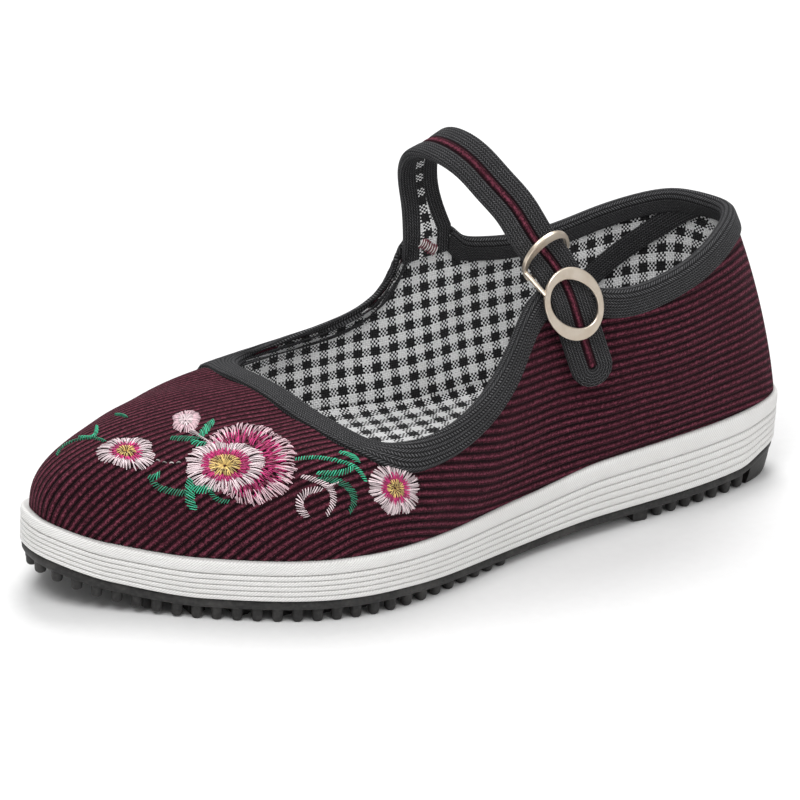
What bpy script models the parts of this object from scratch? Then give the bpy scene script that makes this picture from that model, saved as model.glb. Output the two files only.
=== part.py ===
"""Women's left cloth shoe with an instep strap, modelled as separate closed solids.

Frame while modelling: x runs from the back of the heel (0) to the toe tip, y points to the
outer (lateral) side, z is up and the floor is z = 0. The finished shoe is then moved so that
the middle of its bounding box, at floor level, is the origin.
"""
import bpy
import bmesh
import numpy as np
from math import cos, pi, radians, sin

# Sole sizes
SHOE_LENGTH = 0.247
HEEL_WIDTH = 0.0580
WAIST_WIDTH = 0.0645
BALL_WIDTH = 0.0920
HEEL_STACK = 0.0268
BALL_STACK = 0.0192
TOE_STACK = 0.0268
TREAD_LINE = 0.0066
TOE_TREAD_LINE = 0.0160
HEEL_BUMPER_RISE = 0.0115
OUTSOLE_PLATE = 0.0030
STUD_HEIGHT = 0.0040
STUD_WIDTH = 0.0034
STUD_PITCH = 0.0056
BAR_LUG_WIDTH = 0.0050
BAR_LUG_PITCH = 0.0110
HEEL_BLOCK_LENGTH = 0.0610
HEEL_SOLID_LENGTH = 0.0140
FOREFOOT_START = 0.1080
RIB_COUNT = 5
RIB_DEPTH = 0.0005
SMOOTH_BAND = 0.34

# Upper sizes
OPENING_WIDTH = 0.0700
THROAT_HEIGHT = 0.0510
BACK_HEIGHT = 0.0862
QUARTER_HEIGHT = 0.0755
EAR_HEIGHT = 0.0778
STRAP_EAR_HEIGHT = 0.0775
WALL = 0.0022
FOOT_INSET = 0.0009
TOE_LEDGE = 0.0010
INSOLE_THICKNESS = 0.0025
INSOLE_MARGIN = 0.0016

# Binding, strap and buckle sizes
BINDING_OUTSIDE = 0.0062
BINDING_INSIDE = 0.0078
BINDING_THICKNESS = 0.0008
STRAP_WIDTH = 0.0118
STRAP_ROOT_WIDTH = 0.0150
STRAP_THICKNESS = 0.0022
STRAP_TAPE_WIDTH = 0.0046
STRAP_TAPE_STEP = 0.0004
STRAP_TOP = 0.1105
TAIL_LENGTH = 0.0205
RING_WIDTH = 0.0178
RING_HEIGHT = 0.0218
RING_BAND = 0.0027
RING_THICKNESS = 0.0013
RING_BELOW_EAR = 0.0001
KEEPER_RISE = 0.0156
KEEPER_WIDTH = 0.0168
KEEPER_HEIGHT = 0.0124
KEEPER_BAND = 0.0014
KEEPER_CREST = 0.0021
KEEPER_LEAN = 34
LOOP_SKIN = 0.0008
LOOP_LENGTH = 0.0100
LOOP_STEPS = 12

GAP = 0.0003
LUG_BITE = 0.0006
PLATE_EDGE_ROUND = 0.0010
HEEL_LUG_INSET = 0.0014
STUD_INSET = 0.0008
BAR_TO_STUD = 0.0032
TAPE_CORNER = 0.0005
PROBE = 0.0020
NORMAL_PROBE = 0.0006
KNOT_PROBE = 0.0012
EAR_GAP_KNOTS = 0.0030
COLUMN_PITCH = 0.0080
OUTLINE_STEPS = 60
UPPER_STEPS = 8

# Sole outline: station along the length, the size that the row follows, and the lateral and
# medial half widths as shares of that size
OUTLINE_ROWS = (
    (0.00, HEEL_WIDTH, 0.469, 0.483),
    (0.08, HEEL_WIDTH, 0.471, 0.520),
    (0.18, HEEL_WIDTH, 0.479, 0.530),
    (0.30, HEEL_WIDTH, 0.503, 0.532),
    (0.42, WAIST_WIDTH, 0.515, 0.488),
    (0.54, WAIST_WIDTH, 0.664, 0.566),
    (0.64, BALL_WIDTH, 0.540, 0.451),
    (0.74, BALL_WIDTH, 0.532, 0.462),
    (0.84, BALL_WIDTH, 0.434, 0.462),
    (0.93, BALL_WIDTH, 0.323, 0.392),
    (1.00, BALL_WIDTH, 0.261, 0.302),
)
OUTLINE_ROUNDNESS = 0.72

# Feather line, where upper meets sole: station, size, share of that size
FEATHER_ROWS = (
    (0.00, HEEL_STACK, 1.000),
    (0.12, HEEL_STACK, 0.950),
    (0.30, HEEL_STACK, 0.888),
    (0.42, BALL_STACK, 1.047),
    (0.54, BALL_STACK, 1.005),
    (0.64, BALL_STACK, 1.010),
    (0.76, BALL_STACK, 0.985),
    (0.84, BALL_STACK, 0.980),
    (0.93, TOE_STACK, 0.795),
    (1.00, TOE_STACK, 1.000),
)

# Line between the white band and the dark outsole: station, size, share of that size
TREAD_ROWS = (
    (0.00, HEEL_BUMPER_RISE, 1.000),
    (0.035, HEEL_BUMPER_RISE, 0.880),
    (0.080, TREAD_LINE, 1.080),
    (0.18, TREAD_LINE, 0.965),
    (0.30, TREAD_LINE, 0.930),
    (0.43, TREAD_LINE, 0.740),
    (0.54, TREAD_LINE, 0.860),
    (0.64, TREAD_LINE, 1.045),
    (0.84, TREAD_LINE, 1.055),
    (0.93, TOE_TREAD_LINE, 0.630),
    (1.00, TOE_TREAD_LINE, 1.000),
)

# Side of the white band above its ribs: height share, outward share of the rib depth
BAND_TOP_ROWS = (
    (0.80, 0.9),
    (0.97, 0.5),
    (1.00, -0.6),
)

# Collar line, from the toe round the lateral side to the heel and back by the medial side.
# foot: angle of the column's foot on the sole outline, degrees (0 toe, 180 heel)
# x: share of SHOE_LENGTH; y: share of OPENING_WIDTH; height and z: z is that share of a size
# round: 1 is a straight wall, 2.5 a full toe; bulge: outward swell of the wall, metres
#   foot,  x,     y,      height,           z,     round, bulge
COLLAR_ROWS = (
    (0, 0.684, 0.000, THROAT_HEIGHT, 0.988, 2.70, 0.0),
    (27, 0.678, 0.170, THROAT_HEIGHT, 0.976, 2.70, 0.0),
    (45, 0.662, 0.370, THROAT_HEIGHT, 0.950, 2.60, 0.0),
    (60, 0.639, 0.510, THROAT_HEIGHT, 0.922, 2.20, 0.0002),
    (72, 0.603, 0.572, THROAT_HEIGHT, 0.926, 1.70, 0.0008),
    (81, 0.548, 0.566, THROAT_HEIGHT, 0.975, 1.40, 0.0014),
    (88, 0.496, 0.524, QUARTER_HEIGHT, 0.738, 1.20, 0.0018),
    (94, 0.451, 0.450, QUARTER_HEIGHT, 0.872, 1.10, 0.0020),
    (99, 0.415, 0.372, EAR_HEIGHT, 0.965, 1.05, 0.0020),
    (103, 0.385, 0.323, EAR_HEIGHT, 0.999, 1.05, 0.0020),
    (107, 0.353, 0.325, EAR_HEIGHT, 0.993, 1.05, 0.0020),
    (111.5, 0.328, 0.362, QUARTER_HEIGHT, 1.010, 1.05, 0.0020),
    (117, 0.297, 0.392, QUARTER_HEIGHT, 1.000, 1.05, 0.0020),
    (126, 0.245, 0.392, QUARTER_HEIGHT, 1.022, 1.05, 0.0018),
    (137, 0.182, 0.336, BACK_HEIGHT, 0.940, 1.05, 0.0016),
    (149, 0.131, 0.232, BACK_HEIGHT, 0.984, 1.05, 0.0014),
    (164, 0.095, 0.100, BACK_HEIGHT, 1.000, 1.05, 0.0014),
    (180, 0.084, 0.000, BACK_HEIGHT, 0.998, 1.05, 0.0014),
    (196, 0.091, -0.110, BACK_HEIGHT, 0.994, 1.05, 0.0014),
    (211, 0.111, -0.262, BACK_HEIGHT, 0.976, 1.05, 0.0014),
    (223, 0.157, -0.358, BACK_HEIGHT, 0.938, 1.05, 0.0016),
    (233, 0.206, -0.402, QUARTER_HEIGHT, 1.022, 1.05, 0.0018),
    (242, 0.259, -0.424, QUARTER_HEIGHT, 0.973, 1.05, 0.0020),
    (248.5, 0.310, -0.438, QUARTER_HEIGHT, 0.952, 1.05, 0.0020),
    (254, 0.352, -0.450, QUARTER_HEIGHT, 0.957, 1.05, 0.0020),
    (258, 0.378, -0.458, STRAP_EAR_HEIGHT, 0.952, 1.05, 0.0020),
    (261.5, 0.397, -0.460, STRAP_EAR_HEIGHT, 0.998, 1.05, 0.0020),
    (264.5, 0.424, -0.462, STRAP_EAR_HEIGHT, 1.002, 1.05, 0.0020),
    (268, 0.448, -0.466, STRAP_EAR_HEIGHT, 0.984, 1.08, 0.0020),
    (272.5, 0.461, -0.478, STRAP_EAR_HEIGHT, 0.872, 1.15, 0.0020),
    (278, 0.484, -0.494, STRAP_EAR_HEIGHT, 0.750, 1.25, 0.0018),
    (286, 0.530, -0.508, THROAT_HEIGHT, 1.025, 1.40, 0.0014),
    (296, 0.601, -0.514, THROAT_HEIGHT, 0.950, 1.80, 0.0008),
    (307, 0.658, -0.504, THROAT_HEIGHT, 0.906, 2.15, 0.0003),
    (320, 0.686, -0.420, THROAT_HEIGHT, 0.918, 2.40, 0.0),
    (338, 0.690, -0.220, THROAT_HEIGHT, 0.966, 2.60, 0.0),
)
LATERAL_EAR_ROW = 9.5
MEDIAL_EAR_FRONT_ROW = 28.0
MEDIAL_EAR_BACK_ROW = 26.0
TAIL_DRIFT = 0.016

# Free arch of the strap: x share of SHOE_LENGTH, y share of OPENING_WIDTH, z share of
# STRAP_TOP, twist of the width towards the toe and floor in degrees
ARCH_ROWS = (
    (0.432, -0.476, 0.800, 0),
    (0.443, -0.450, 0.905, 8),
    (0.447, -0.360, 0.985, 24),
    (0.443, -0.220, 1.012, 34),
    (0.432, -0.064, 0.994, 40),
    (0.421, 0.043, 0.953, 40),
    (0.409, 0.143, 0.908, 38),
    (0.397, 0.250, 0.838, 33),
    (0.384, 0.307, 0.791, 27),
)


def spline(knots, values, period=None):
    """Cubic spline through values at knots; natural ends, or periodic when period is given."""
    knots = np.asarray(knots, float)
    values = np.asarray(values, float)
    count = len(knots)
    if period is None:
        steps = np.diff(knots)
        slopes = np.diff(values, axis=0) / steps[:, None]
        matrix = np.eye(count)
        right = np.zeros_like(values)
        for i in range(1, count - 1):
            matrix[i, i - 1] = steps[i - 1]
            matrix[i, i] = 2 * (steps[i - 1] + steps[i])
            matrix[i, i + 1] = steps[i]
            right[i] = 6 * (slopes[i] - slopes[i - 1])
    else:
        steps = np.diff(np.append(knots, knots[0] + period))
        nexts = np.roll(values, -1, axis=0)
        slopes = (nexts - values) / steps[:, None]
        matrix = np.zeros((count, count))
        right = np.zeros_like(values)
        for i in range(count):
            matrix[i, (i - 1) % count] += steps[i - 1]
            matrix[i, i] += 2 * (steps[i - 1] + steps[i])
            matrix[i, (i + 1) % count] += steps[i]
            right[i] = 6 * (slopes[i] - slopes[i - 1])
    bends = np.linalg.solve(matrix, right)

    def evaluate(at):
        at = np.atleast_1d(np.asarray(at, float))
        if period is not None:
            at = knots[0] + (at - knots[0]) % period
        i = np.clip(np.searchsorted(knots, at, side="right") - 1, 0, len(steps) - 1)
        j = (i + 1) % count
        h = steps[i][:, None]
        a = (at - knots[i])[:, None]
        b = h - a
        curve = (bends[i] * b ** 3 + bends[j] * a ** 3) / (6 * h)
        return curve + (values[i] / h - bends[i] * h / 6) * b + (values[j] / h - bends[j] * h / 6) * a

    return evaluate


def steady(rows):
    """Curve through (station, size, share) rows that does not overshoot between them."""
    at = np.array([row[0] for row in rows])
    value = np.array([row[1] * row[2] for row in rows])
    rise = np.diff(value) / np.diff(at)
    slope = np.zeros(len(at))
    same = rise[1:] * rise[:-1] > 0
    slope[1:-1] = np.where(same, 2 * rise[1:] * rise[:-1] / (rise[1:] + rise[:-1] + 1e-12), 0)
    slope[0] = rise[0]
    slope[-1] = rise[-1]

    def evaluate(station):
        station = np.clip(np.atleast_1d(station), 0, 1)
        i = np.clip(np.searchsorted(at, station, side="right") - 1, 0, len(at) - 2)
        h = at[i + 1] - at[i]
        t = (station - at[i]) / h
        start = value[i] * (1 + 2 * t) * (1 - t) ** 2 + slope[i] * h * t * (1 - t) ** 2
        return start + value[i + 1] * t * t * (3 - 2 * t) + slope[i + 1] * h * t * t * (t - 1)

    return evaluate


feather = steady(FEATHER_ROWS)
tread = steady(TREAD_ROWS)
half_widths = spline(
    [row[0] for row in OUTLINE_ROWS],
    [(row[1] * row[2], row[1] * row[3]) for row in OUTLINE_ROWS],
)


def outline(theta, inset=0.0):
    """Points of the sole outline at angles theta (0 toe tip, pi heel), moved in by inset."""
    theta = np.atleast_1d(np.asarray(theta, float))

    def raw(angle):
        station = (1 + np.cos(angle)) / 2
        widths = half_widths(station)
        side = np.where(np.sin(angle) >= 0, widths[:, 0], -widths[:, 1])
        return np.stack([SHOE_LENGTH * station, side * np.abs(np.sin(angle)) ** OUTLINE_ROUNDNESS], 1)

    step = 0.002
    along = raw(theta + step) - raw(theta - step)
    along /= np.linalg.norm(along, axis=1)[:, None]
    outward = np.stack([along[:, 1], -along[:, 0]], 1)
    return raw(theta) - outward * inset


def foot_line(theta, more=0.0):
    """Where the upper stands on the sole: set in from the edge, and further at the toe."""
    theta = np.atleast_1d(np.asarray(theta, float))
    ledge = TOE_LEDGE * ((1 + np.cos(theta)) / 2) ** 6
    edge = outline(theta)
    outward = edge - outline(theta, 1.0)
    return edge - outward * (FOOT_INSET + more + ledge)[:, None]


def station_of(x):
    return np.clip(np.asarray(x) / SHOE_LENGTH, 0, 1)


def make_object(name, bm, collection, smooth_angle=35):
    """Turn a bmesh into an object with recalculated outward faces and smooth shading."""
    bmesh.ops.remove_doubles(bm, verts=bm.verts, dist=1e-7)
    bmesh.ops.recalc_face_normals(bm, faces=bm.faces)
    mesh = bpy.data.meshes.new(name)
    bm.to_mesh(mesh)
    bm.free()
    mesh.shade_smooth()
    mesh.set_sharp_from_angle(angle=radians(smooth_angle))
    piece = bpy.data.objects.new(name, mesh)
    collection.objects.link(piece)
    return piece


def loft(bm, sections, closed_along=False, caps=True):
    """Skin closed cross-sections (a list of point loops of equal length)."""
    loops = [[bm.verts.new(point) for point in section] for section in sections]
    spans = len(loops) if closed_along else len(loops) - 1
    size = len(loops[0])
    for i in range(spans):
        a = loops[i]
        b = loops[(i + 1) % len(loops)]
        for k in range(size):
            bm.faces.new((a[k], a[(k + 1) % size], b[(k + 1) % size], b[k]))
    if caps and not closed_along:
        bm.faces.new(list(reversed(loops[0])))
        bm.faces.new(loops[-1])
    return loops


def cap_outline(bm, loop):
    """Close a sole-shaped ring with strips that run from its lateral to its medial edge."""
    size = len(loop)
    half = size // 2
    bm.faces.new((loop[0], loop[1], loop[size - 1]))
    for k in range(1, half - 1):
        bm.faces.new((loop[k], loop[k + 1], loop[size - k - 1], loop[size - k]))
    bm.faces.new((loop[half - 1], loop[half], loop[half + 1]))


def sole_slab(rings):
    """Closed slab from stacked rings of points, bottom ring first."""
    bm = bmesh.new()
    loops = [[bm.verts.new(point) for point in ring] for ring in rings]
    size = len(loops[0])
    for lower, upper in zip(loops, loops[1:]):
        for k in range(size):
            bm.faces.new((lower[k], lower[(k + 1) % size], upper[(k + 1) % size], upper[k]))
    cap_outline(bm, loops[0])
    cap_outline(bm, loops[-1])
    return bm


def outline_angles():
    """Angles round the outline, closer together at the toe and heel, matched left to right."""
    even = np.arange(OUTLINE_STEPS) / OUTLINE_STEPS * 2 * pi
    return even - 0.12 * np.sin(2 * even)


def ring_at(inset, height):
    """A ring of the outline moved in by inset, at the heights that a function of x gives."""
    flat = outline(outline_angles(), inset)
    return [(x, y, z) for (x, y), z in zip(flat, height(flat[:, 0]))]


def band_height(share):
    """Height of a line on the side of the white band, share 0 at its foot, 1 at its top."""
    def at(x):
        low = tread(station_of(x)) + GAP
        return low + (feather(station_of(x)) - low) * share
    return at


def build_midsole(collection):
    """White band: ribs below, a smooth strip above, closed over the full sole."""
    rows = [(0.0, -0.5)]
    rib = (1 - SMOOTH_BAND) / RIB_COUNT
    for k in range(RIB_COUNT):
        rows.append(((k + 0.45) * rib, 1.0))
        rows.append(((k + 1) * rib, -0.6))
    rows += BAND_TOP_ROWS
    rings = [ring_at(-RIB_DEPTH * out, band_height(share)) for share, out in rows]
    return make_object("midsole", sole_slab(rings), collection)


def plate_underside(x):
    return tread(station_of(x)) - OUTSOLE_PLATE


def lug_foot(x):
    """Underside of a lug: on the floor, and lifted with the sole at the toe."""
    return np.maximum(0.0, plate_underside(x) - STUD_HEIGHT)


def floor_under(x):
    """Underside of the solid back of the heel, flat on the floor."""
    return np.zeros_like(np.asarray(x, float))


def add_prism(bm, base, foot, top):
    """Closed prism over a flat loop of points, from heights foot to heights top."""
    low = [(x, y, z) for (x, y), z in zip(base, foot)]
    high = [(x, y, z) for (x, y), z in zip(base, top)]
    loft(bm, [low, high])


def add_stud(bm, x, y):
    """Round stud drawn as a short hexagonal peg that narrows to its foot."""
    foot = float(lug_foot(x)[0])
    top = float(plate_underside(x)[0]) + LUG_BITE
    rings = []
    for radius, z in ((STUD_WIDTH * 0.42, foot), (STUD_WIDTH * 0.5, foot + 0.25 * (top - foot)),
                      (STUD_WIDTH * 0.5, top)):
        rings.append([(x + radius * cos(k * pi / 3), y + radius * sin(k * pi / 3), z) for k in range(6)])
    loft(bm, rings)


def stud_centres():
    """Places of the edge studs: an even pitch round the forefoot and round the heel block."""
    fine = np.linspace(0, 2 * pi, 1441)
    line = outline(fine, STUD_WIDTH * 0.5 + STUD_INSET)
    travelled = np.append(0, np.cumsum(np.linalg.norm(np.diff(line, axis=0), axis=1)))
    count = int(travelled[-1] / STUD_PITCH)
    for k in range(count):
        distance = (k + 0.5) * travelled[-1] / count
        x = np.interp(distance, travelled, line[:, 0])
        y = np.interp(distance, travelled, line[:, 1])
        on_heel = HEEL_SOLID_LENGTH + STUD_WIDTH < x < HEEL_BLOCK_LENGTH - STUD_WIDTH - BAR_LUG_WIDTH
        if on_heel or x > FOREFOOT_START:
            yield x, y


def side_limits(x, inset):
    """Lateral and medial y of the outline at a length x."""
    theta = np.arccos(np.clip(2 * x / SHOE_LENGTH - 1, -1, 1))
    return outline(theta, inset)[0, 1], outline(2 * pi - theta, inset)[0, 1]


def add_bar(bm, x, inset):
    """Straight lug across the sole, between the two rows of studs or edge to edge."""
    lateral, medial = side_limits(x, inset)
    x0 = x - BAR_LUG_WIDTH / 2
    x1 = x + BAR_LUG_WIDTH / 2
    base = [(x0, medial), (x1, medial), (x1, lateral), (x0, lateral)]
    xs = np.array([point[0] for point in base])
    foot = np.full(4, float(lug_foot(x)[0]))
    add_prism(bm, base, foot, plate_underside(xs) + LUG_BITE)


def build_outsole(collection, cutters):
    """Dark rubber: a thin plate with a solid heel back, edge studs and cross bars."""
    plate = sole_slab([
        ring_at(PLATE_EDGE_ROUND, plate_underside),
        ring_at(PLATE_EDGE_ROUND * 0.4, lambda x: tread(station_of(x)) - OUTSOLE_PLATE * 0.5),
        ring_at(PLATE_EDGE_ROUND * 0.6, lambda x: tread(station_of(x))),
    ])
    outsole = make_object("outsole", plate, collection)

    lugs = bmesh.new()
    heel_angle = np.arccos(2 * HEEL_SOLID_LENGTH / SHOE_LENGTH - 1)
    heel_line = outline(np.linspace(heel_angle, 2 * pi - heel_angle, 13), HEEL_LUG_INSET)
    add_prism(lugs, heel_line, floor_under(heel_line[:, 0]), plate_underside(heel_line[:, 0]) + LUG_BITE)
    for x, y in stud_centres():
        add_stud(lugs, x, y)
    edge = STUD_WIDTH + BAR_TO_STUD
    add_bar(lugs, HEEL_BLOCK_LENGTH - BAR_LUG_WIDTH / 2, HEEL_LUG_INSET)
    x = HEEL_SOLID_LENGTH + BAR_LUG_PITCH
    while x < HEEL_BLOCK_LENGTH - BAR_LUG_PITCH:
        add_bar(lugs, x, edge)
        x += BAR_LUG_PITCH
    x = FOREFOOT_START + BAR_LUG_PITCH
    while x < SHOE_LENGTH - 2 * BAR_LUG_PITCH:
        add_bar(lugs, x, edge)
        x += BAR_LUG_PITCH
    tool = make_object("outsole_lugs", lugs, cutters)
    tool.hide_render = True
    tool.display_type = "WIRE"
    join = outsole.modifiers.new("lugs", "BOOLEAN")
    join.operation = "UNION"
    join.solver = "EXACT"
    join.use_self = True
    join.object = tool
    return outsole


def build_insole(collection):
    """Flat sock lining that lies on the midsole, inside the upper."""
    flat = foot_line(outline_angles(), WALL + INSOLE_MARGIN)
    low = feather(station_of(flat[:, 0])) + GAP
    rings = [[(x, y, z) for (x, y), z in zip(flat, low + rise)] for rise in (0.0, INSOLE_THICKNESS)]
    return make_object("insole", sole_slab(rings), collection)


def collar_curves():
    """Splines over the collar rows, and the knot of each row."""
    rows = []
    for foot, x, y, height, z, fullness, bulge in COLLAR_ROWS:
        rows.append((radians(foot), x * SHOE_LENGTH, y * OPENING_WIDTH, height * z, fullness, bulge))
    rows = np.array(rows)
    feet = foot_line(rows[:, 0])
    middle = np.column_stack([(rows[:, 1] + feet[:, 0]) / 2, (rows[:, 2] + feet[:, 1]) / 2, rows[:, 3]])
    chords = np.linalg.norm(np.roll(middle, -1, axis=0) - middle, axis=1)
    total = chords.sum()
    knots = np.append(0, np.cumsum(chords))[:-1] / total
    rows[:, 0] -= knots * 2 * pi
    curve = spline(knots, rows, period=1.0)
    return curve, knots, chords


collar, collar_knots, collar_chords = collar_curves()


def knot_of(row):
    """Collar parameter of a row number, which may lie between two rows."""
    ends = np.append(collar_knots, 1.0)
    return float(np.interp(row, np.arange(len(ends)), ends))


def column(u):
    """Outer line of the upper at collar parameter u, from the collar down to the sole."""
    foot, x, y, z, fullness, bulge = collar(u)[0]
    foot += (u % 1.0) * 2 * pi
    base = foot_line(foot)[0]
    floor = float(feather(station_of(base[0]))[0]) + GAP
    turn = np.linspace(1, 0, 49) * pi / 2
    reach = np.cos(turn) ** (2 / fullness)
    rise = np.sin(turn) ** (2 / fullness)
    ahead = outline(foot + 0.004)[0] - outline(foot - 0.004)[0]
    ahead /= np.linalg.norm(ahead)
    swell = 4 * bulge * rise * (1 - rise)
    line = np.empty((len(turn), 3))
    line[:, 0] = x + (base[0] - x) * reach + ahead[1] * swell
    line[:, 1] = y + (base[1] - y) * reach - ahead[0] * swell
    line[:, 2] = floor + (z - floor) * rise
    return line


def lengths_along(line):
    return np.append(0, np.cumsum(np.linalg.norm(np.diff(line, axis=0), axis=1)))


def surface_point(u, down):
    """Point of the upper's outer face, a distance down its column from the collar."""
    line = column(u)
    travelled = lengths_along(line)
    if down < 0:
        return line[0] + (line[0] - line[1]) / travelled[1] * -down
    return np.array([np.interp(down, travelled, line[:, k]) for k in range(3)])


def surface_normal(u, down):
    """Outward direction of the upper's outer face."""
    down = max(down, NORMAL_PROBE)
    around = surface_point(u + KNOT_PROBE, down) - surface_point(u - KNOT_PROBE, down)
    downward = surface_point(u, down + NORMAL_PROBE) - surface_point(u, down - NORMAL_PROBE)
    normal = np.cross(downward, around)
    return normal / np.linalg.norm(normal)


def collar_slant(u):
    """How much longer a width gets when it is measured down a column, not square to the edge."""
    edge = surface_point(u + KNOT_PROBE, 0) - surface_point(u - KNOT_PROBE, 0)
    down = surface_point(u, PROBE) - surface_point(u, 0)
    edge /= np.linalg.norm(edge)
    down /= np.linalg.norm(down)
    return 1 / max(np.linalg.norm(np.cross(edge, down)), 0.45)


def collar_samples():
    """Parameters of the columns, two or more for each row of the collar table."""
    ends = np.append(collar_knots, 1.0)
    samples = []
    for i, chord in enumerate(collar_chords):
        steps = max(2, int(round(chord / COLUMN_PITCH)))
        samples += [ends[i] + (ends[i + 1] - ends[i]) * k / steps for k in range(steps)]
    return samples


def wall_section(u):
    """Closed section of the upper's wall: down the outer face and up the inner face."""
    line = column(u)
    length = lengths_along(line)[-1]
    bound = BINDING_OUTSIDE * collar_slant(u)
    depths = [0.0, bound / 2, bound]
    depths += [bound + (length - bound) * (k + 1) / (UPPER_STEPS - 2) for k in range(UPPER_STEPS - 2)]
    outer = []
    inner = []
    for depth in depths:
        point = surface_point(u, depth)
        normal = surface_normal(u, min(depth, length - NORMAL_PROBE))
        if depth == depths[-1]:
            normal[2] = 0
            normal /= np.linalg.norm(normal)
        outer.append(point)
        inner.append(point - normal * WALL)
    return outer + inner[::-1]


def build_upper(collection):
    """Hollow wall from the sole's edge up to the collar, open above and below."""
    bm = bmesh.new()
    loft(bm, [wall_section(u) for u in collar_samples()], closed_along=True)
    return make_object("upper", bm, collection, 50)


def binding_section(u):
    """Closed U-shaped section of the binding over the collar's edge."""
    slant = collar_slant(u)
    outside = BINDING_OUTSIDE * slant
    inside = BINDING_INSIDE * slant
    skin = GAP + BINDING_THICKNESS
    top = surface_point(u, 0)
    normal = surface_normal(u, 0)
    upward = top - surface_point(u, PROBE)
    upward /= np.linalg.norm(upward)

    def face(depth, out):
        return surface_point(u, depth) + surface_normal(u, depth) * out

    def over(up, out):
        return top + upward * up + normal * out

    return [
        face(outside, GAP), face(outside, skin), face(outside / 2, skin),
        over(0, skin), over(skin, GAP), over(skin, -WALL - GAP),
        over(0, -WALL - skin), face(inside / 2, -WALL - skin), face(inside, -WALL - skin),
        face(inside, -WALL - GAP), face(inside / 2, -WALL - GAP), over(GAP, -WALL - GAP),
        over(GAP, GAP), face(outside / 2, GAP),
    ]


def build_binding(collection):
    """Binding tape from the front of the strap's root, round the shoe, to its back."""
    start = knot_of(MEDIAL_EAR_FRONT_ROW) + EAR_GAP_KNOTS
    finish = knot_of(MEDIAL_EAR_BACK_ROW) + 1 - EAR_GAP_KNOTS
    samples = collar_samples()
    twice = samples + [u + 1 for u in samples]
    inner = [u for u in twice if start + KNOT_PROBE < u < finish - KNOT_PROBE]
    bm = bmesh.new()
    loft(bm, [binding_section(u) for u in [start] + inner + [finish]])
    return make_object("collar_binding", bm, collection, 50)


def unit(vector):
    vector = np.asarray(vector, float)
    return vector / np.linalg.norm(vector)


def strap_path():
    """Centre line of the strap with its width directions and widths, root first, tail last."""
    root_u = (knot_of(MEDIAL_EAR_FRONT_ROW) + knot_of(MEDIAL_EAR_BACK_ROW)) / 2
    ear_u = knot_of(LATERAL_EAR_ROW)
    half = STRAP_THICKNESS / 2 + STRAP_TAPE_STEP
    root = surface_point(root_u, 0) - surface_normal(root_u, 0) * WALL / 2
    along_edge = unit(surface_point(root_u + KNOT_PROBE, 0) - surface_point(root_u - KNOT_PROBE, 0))
    points = [(root + np.array([0, 0, 2.5 * GAP]), along_edge, STRAP_ROOT_WIDTH)]
    for x, y, z, twist in ARCH_ROWS:
        place = np.array([x * SHOE_LENGTH, y * OPENING_WIDTH, z * STRAP_TOP])
        width = np.array([cos(radians(twist)), 0, -sin(radians(twist))])
        points.append((place, width, STRAP_WIDTH))
    over_binding = BINDING_THICKNESS + 3.6 * GAP + half
    for share, out in ((0.12, over_binding + GAP), (0.42, over_binding),
                       (0.70, over_binding * 0.9), (1.0, half + 4 * GAP)):
        down = share * TAIL_LENGTH
        u = ear_u + TAIL_DRIFT * share
        place = surface_point(u, down) + surface_normal(u, down) * out
        width = unit(surface_point(u - 3 * KNOT_PROBE, down) - surface_point(u + 3 * KNOT_PROBE, down))
        points.append((place, width, STRAP_WIDTH))
    return points


def swept_strap(steps=40):
    """Places, width directions, outward directions and widths at even steps along the strap."""
    points = strap_path()
    places = np.array([point[0] for point in points])
    knots = lengths_along(places)
    knots /= knots[-1]
    values = np.column_stack([places, np.array([p[1] for p in points]), [p[2] for p in points]])
    curve = spline(knots, values)
    frames = []
    for t in np.linspace(0, 1, steps):
        row = curve(t)[0]
        travel = unit(curve(min(t + 0.004, 1))[0][:3] - curve(max(t - 0.004, 0))[0][:3])
        width = row[3:6] - travel * np.dot(row[3:6], travel)
        width = unit(width)
        outward = np.cross(width, travel)
        frames.append((row[:3], width, outward, row[6], travel))
    return frames


def strap_section(place, width, outward, span, narrow=1.0):
    """Section of the strap: a flat core with a raised tape along both edges."""
    half = span / 2 * narrow
    core = STRAP_THICKNESS / 2
    tape = core + STRAP_TAPE_STEP
    lip = max(half - STRAP_TAPE_WIDTH, half * 0.2)
    corner = TAPE_CORNER
    flat = [
        (-half, -tape + corner), (-half + corner, -tape), (-lip, -tape), (-lip + corner, -core),
        (lip - corner, -core), (lip, -tape), (half - corner, -tape), (half, -tape + corner),
        (half, tape - corner), (half - corner, tape), (lip, tape), (lip - corner, core),
        (-lip + corner, core), (-lip, tape), (-half + corner, tape), (-half, tape - corner),
    ]
    return [place + width * a + outward * b for a, b in flat]


def build_strap(collection):
    """Instep strap from the medial quarter over the arch, through the buckle, to its tail."""
    frames = swept_strap()
    sections = [strap_section(*frame[:4]) for frame in frames]
    place, width, outward, span, travel = frames[-1]
    for turn in (0.35, 0.7, 0.95):
        narrow = (1 - turn ** 2) ** 0.5
        sections.append(strap_section(place + travel * span / 2 * turn, width, outward, span, narrow))
    bm = bmesh.new()
    loft(bm, sections)
    return make_object("strap", bm, collection, 50)


def arch_frame(distance):
    """Frame on the strap at a distance before its tail tip."""
    frames = swept_strap(181)
    travelled = lengths_along(np.array([frame[0] for frame in frames]))
    index = int(np.argmin(np.abs(travelled - (travelled[-1] - distance))))
    return frames[index]


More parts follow.
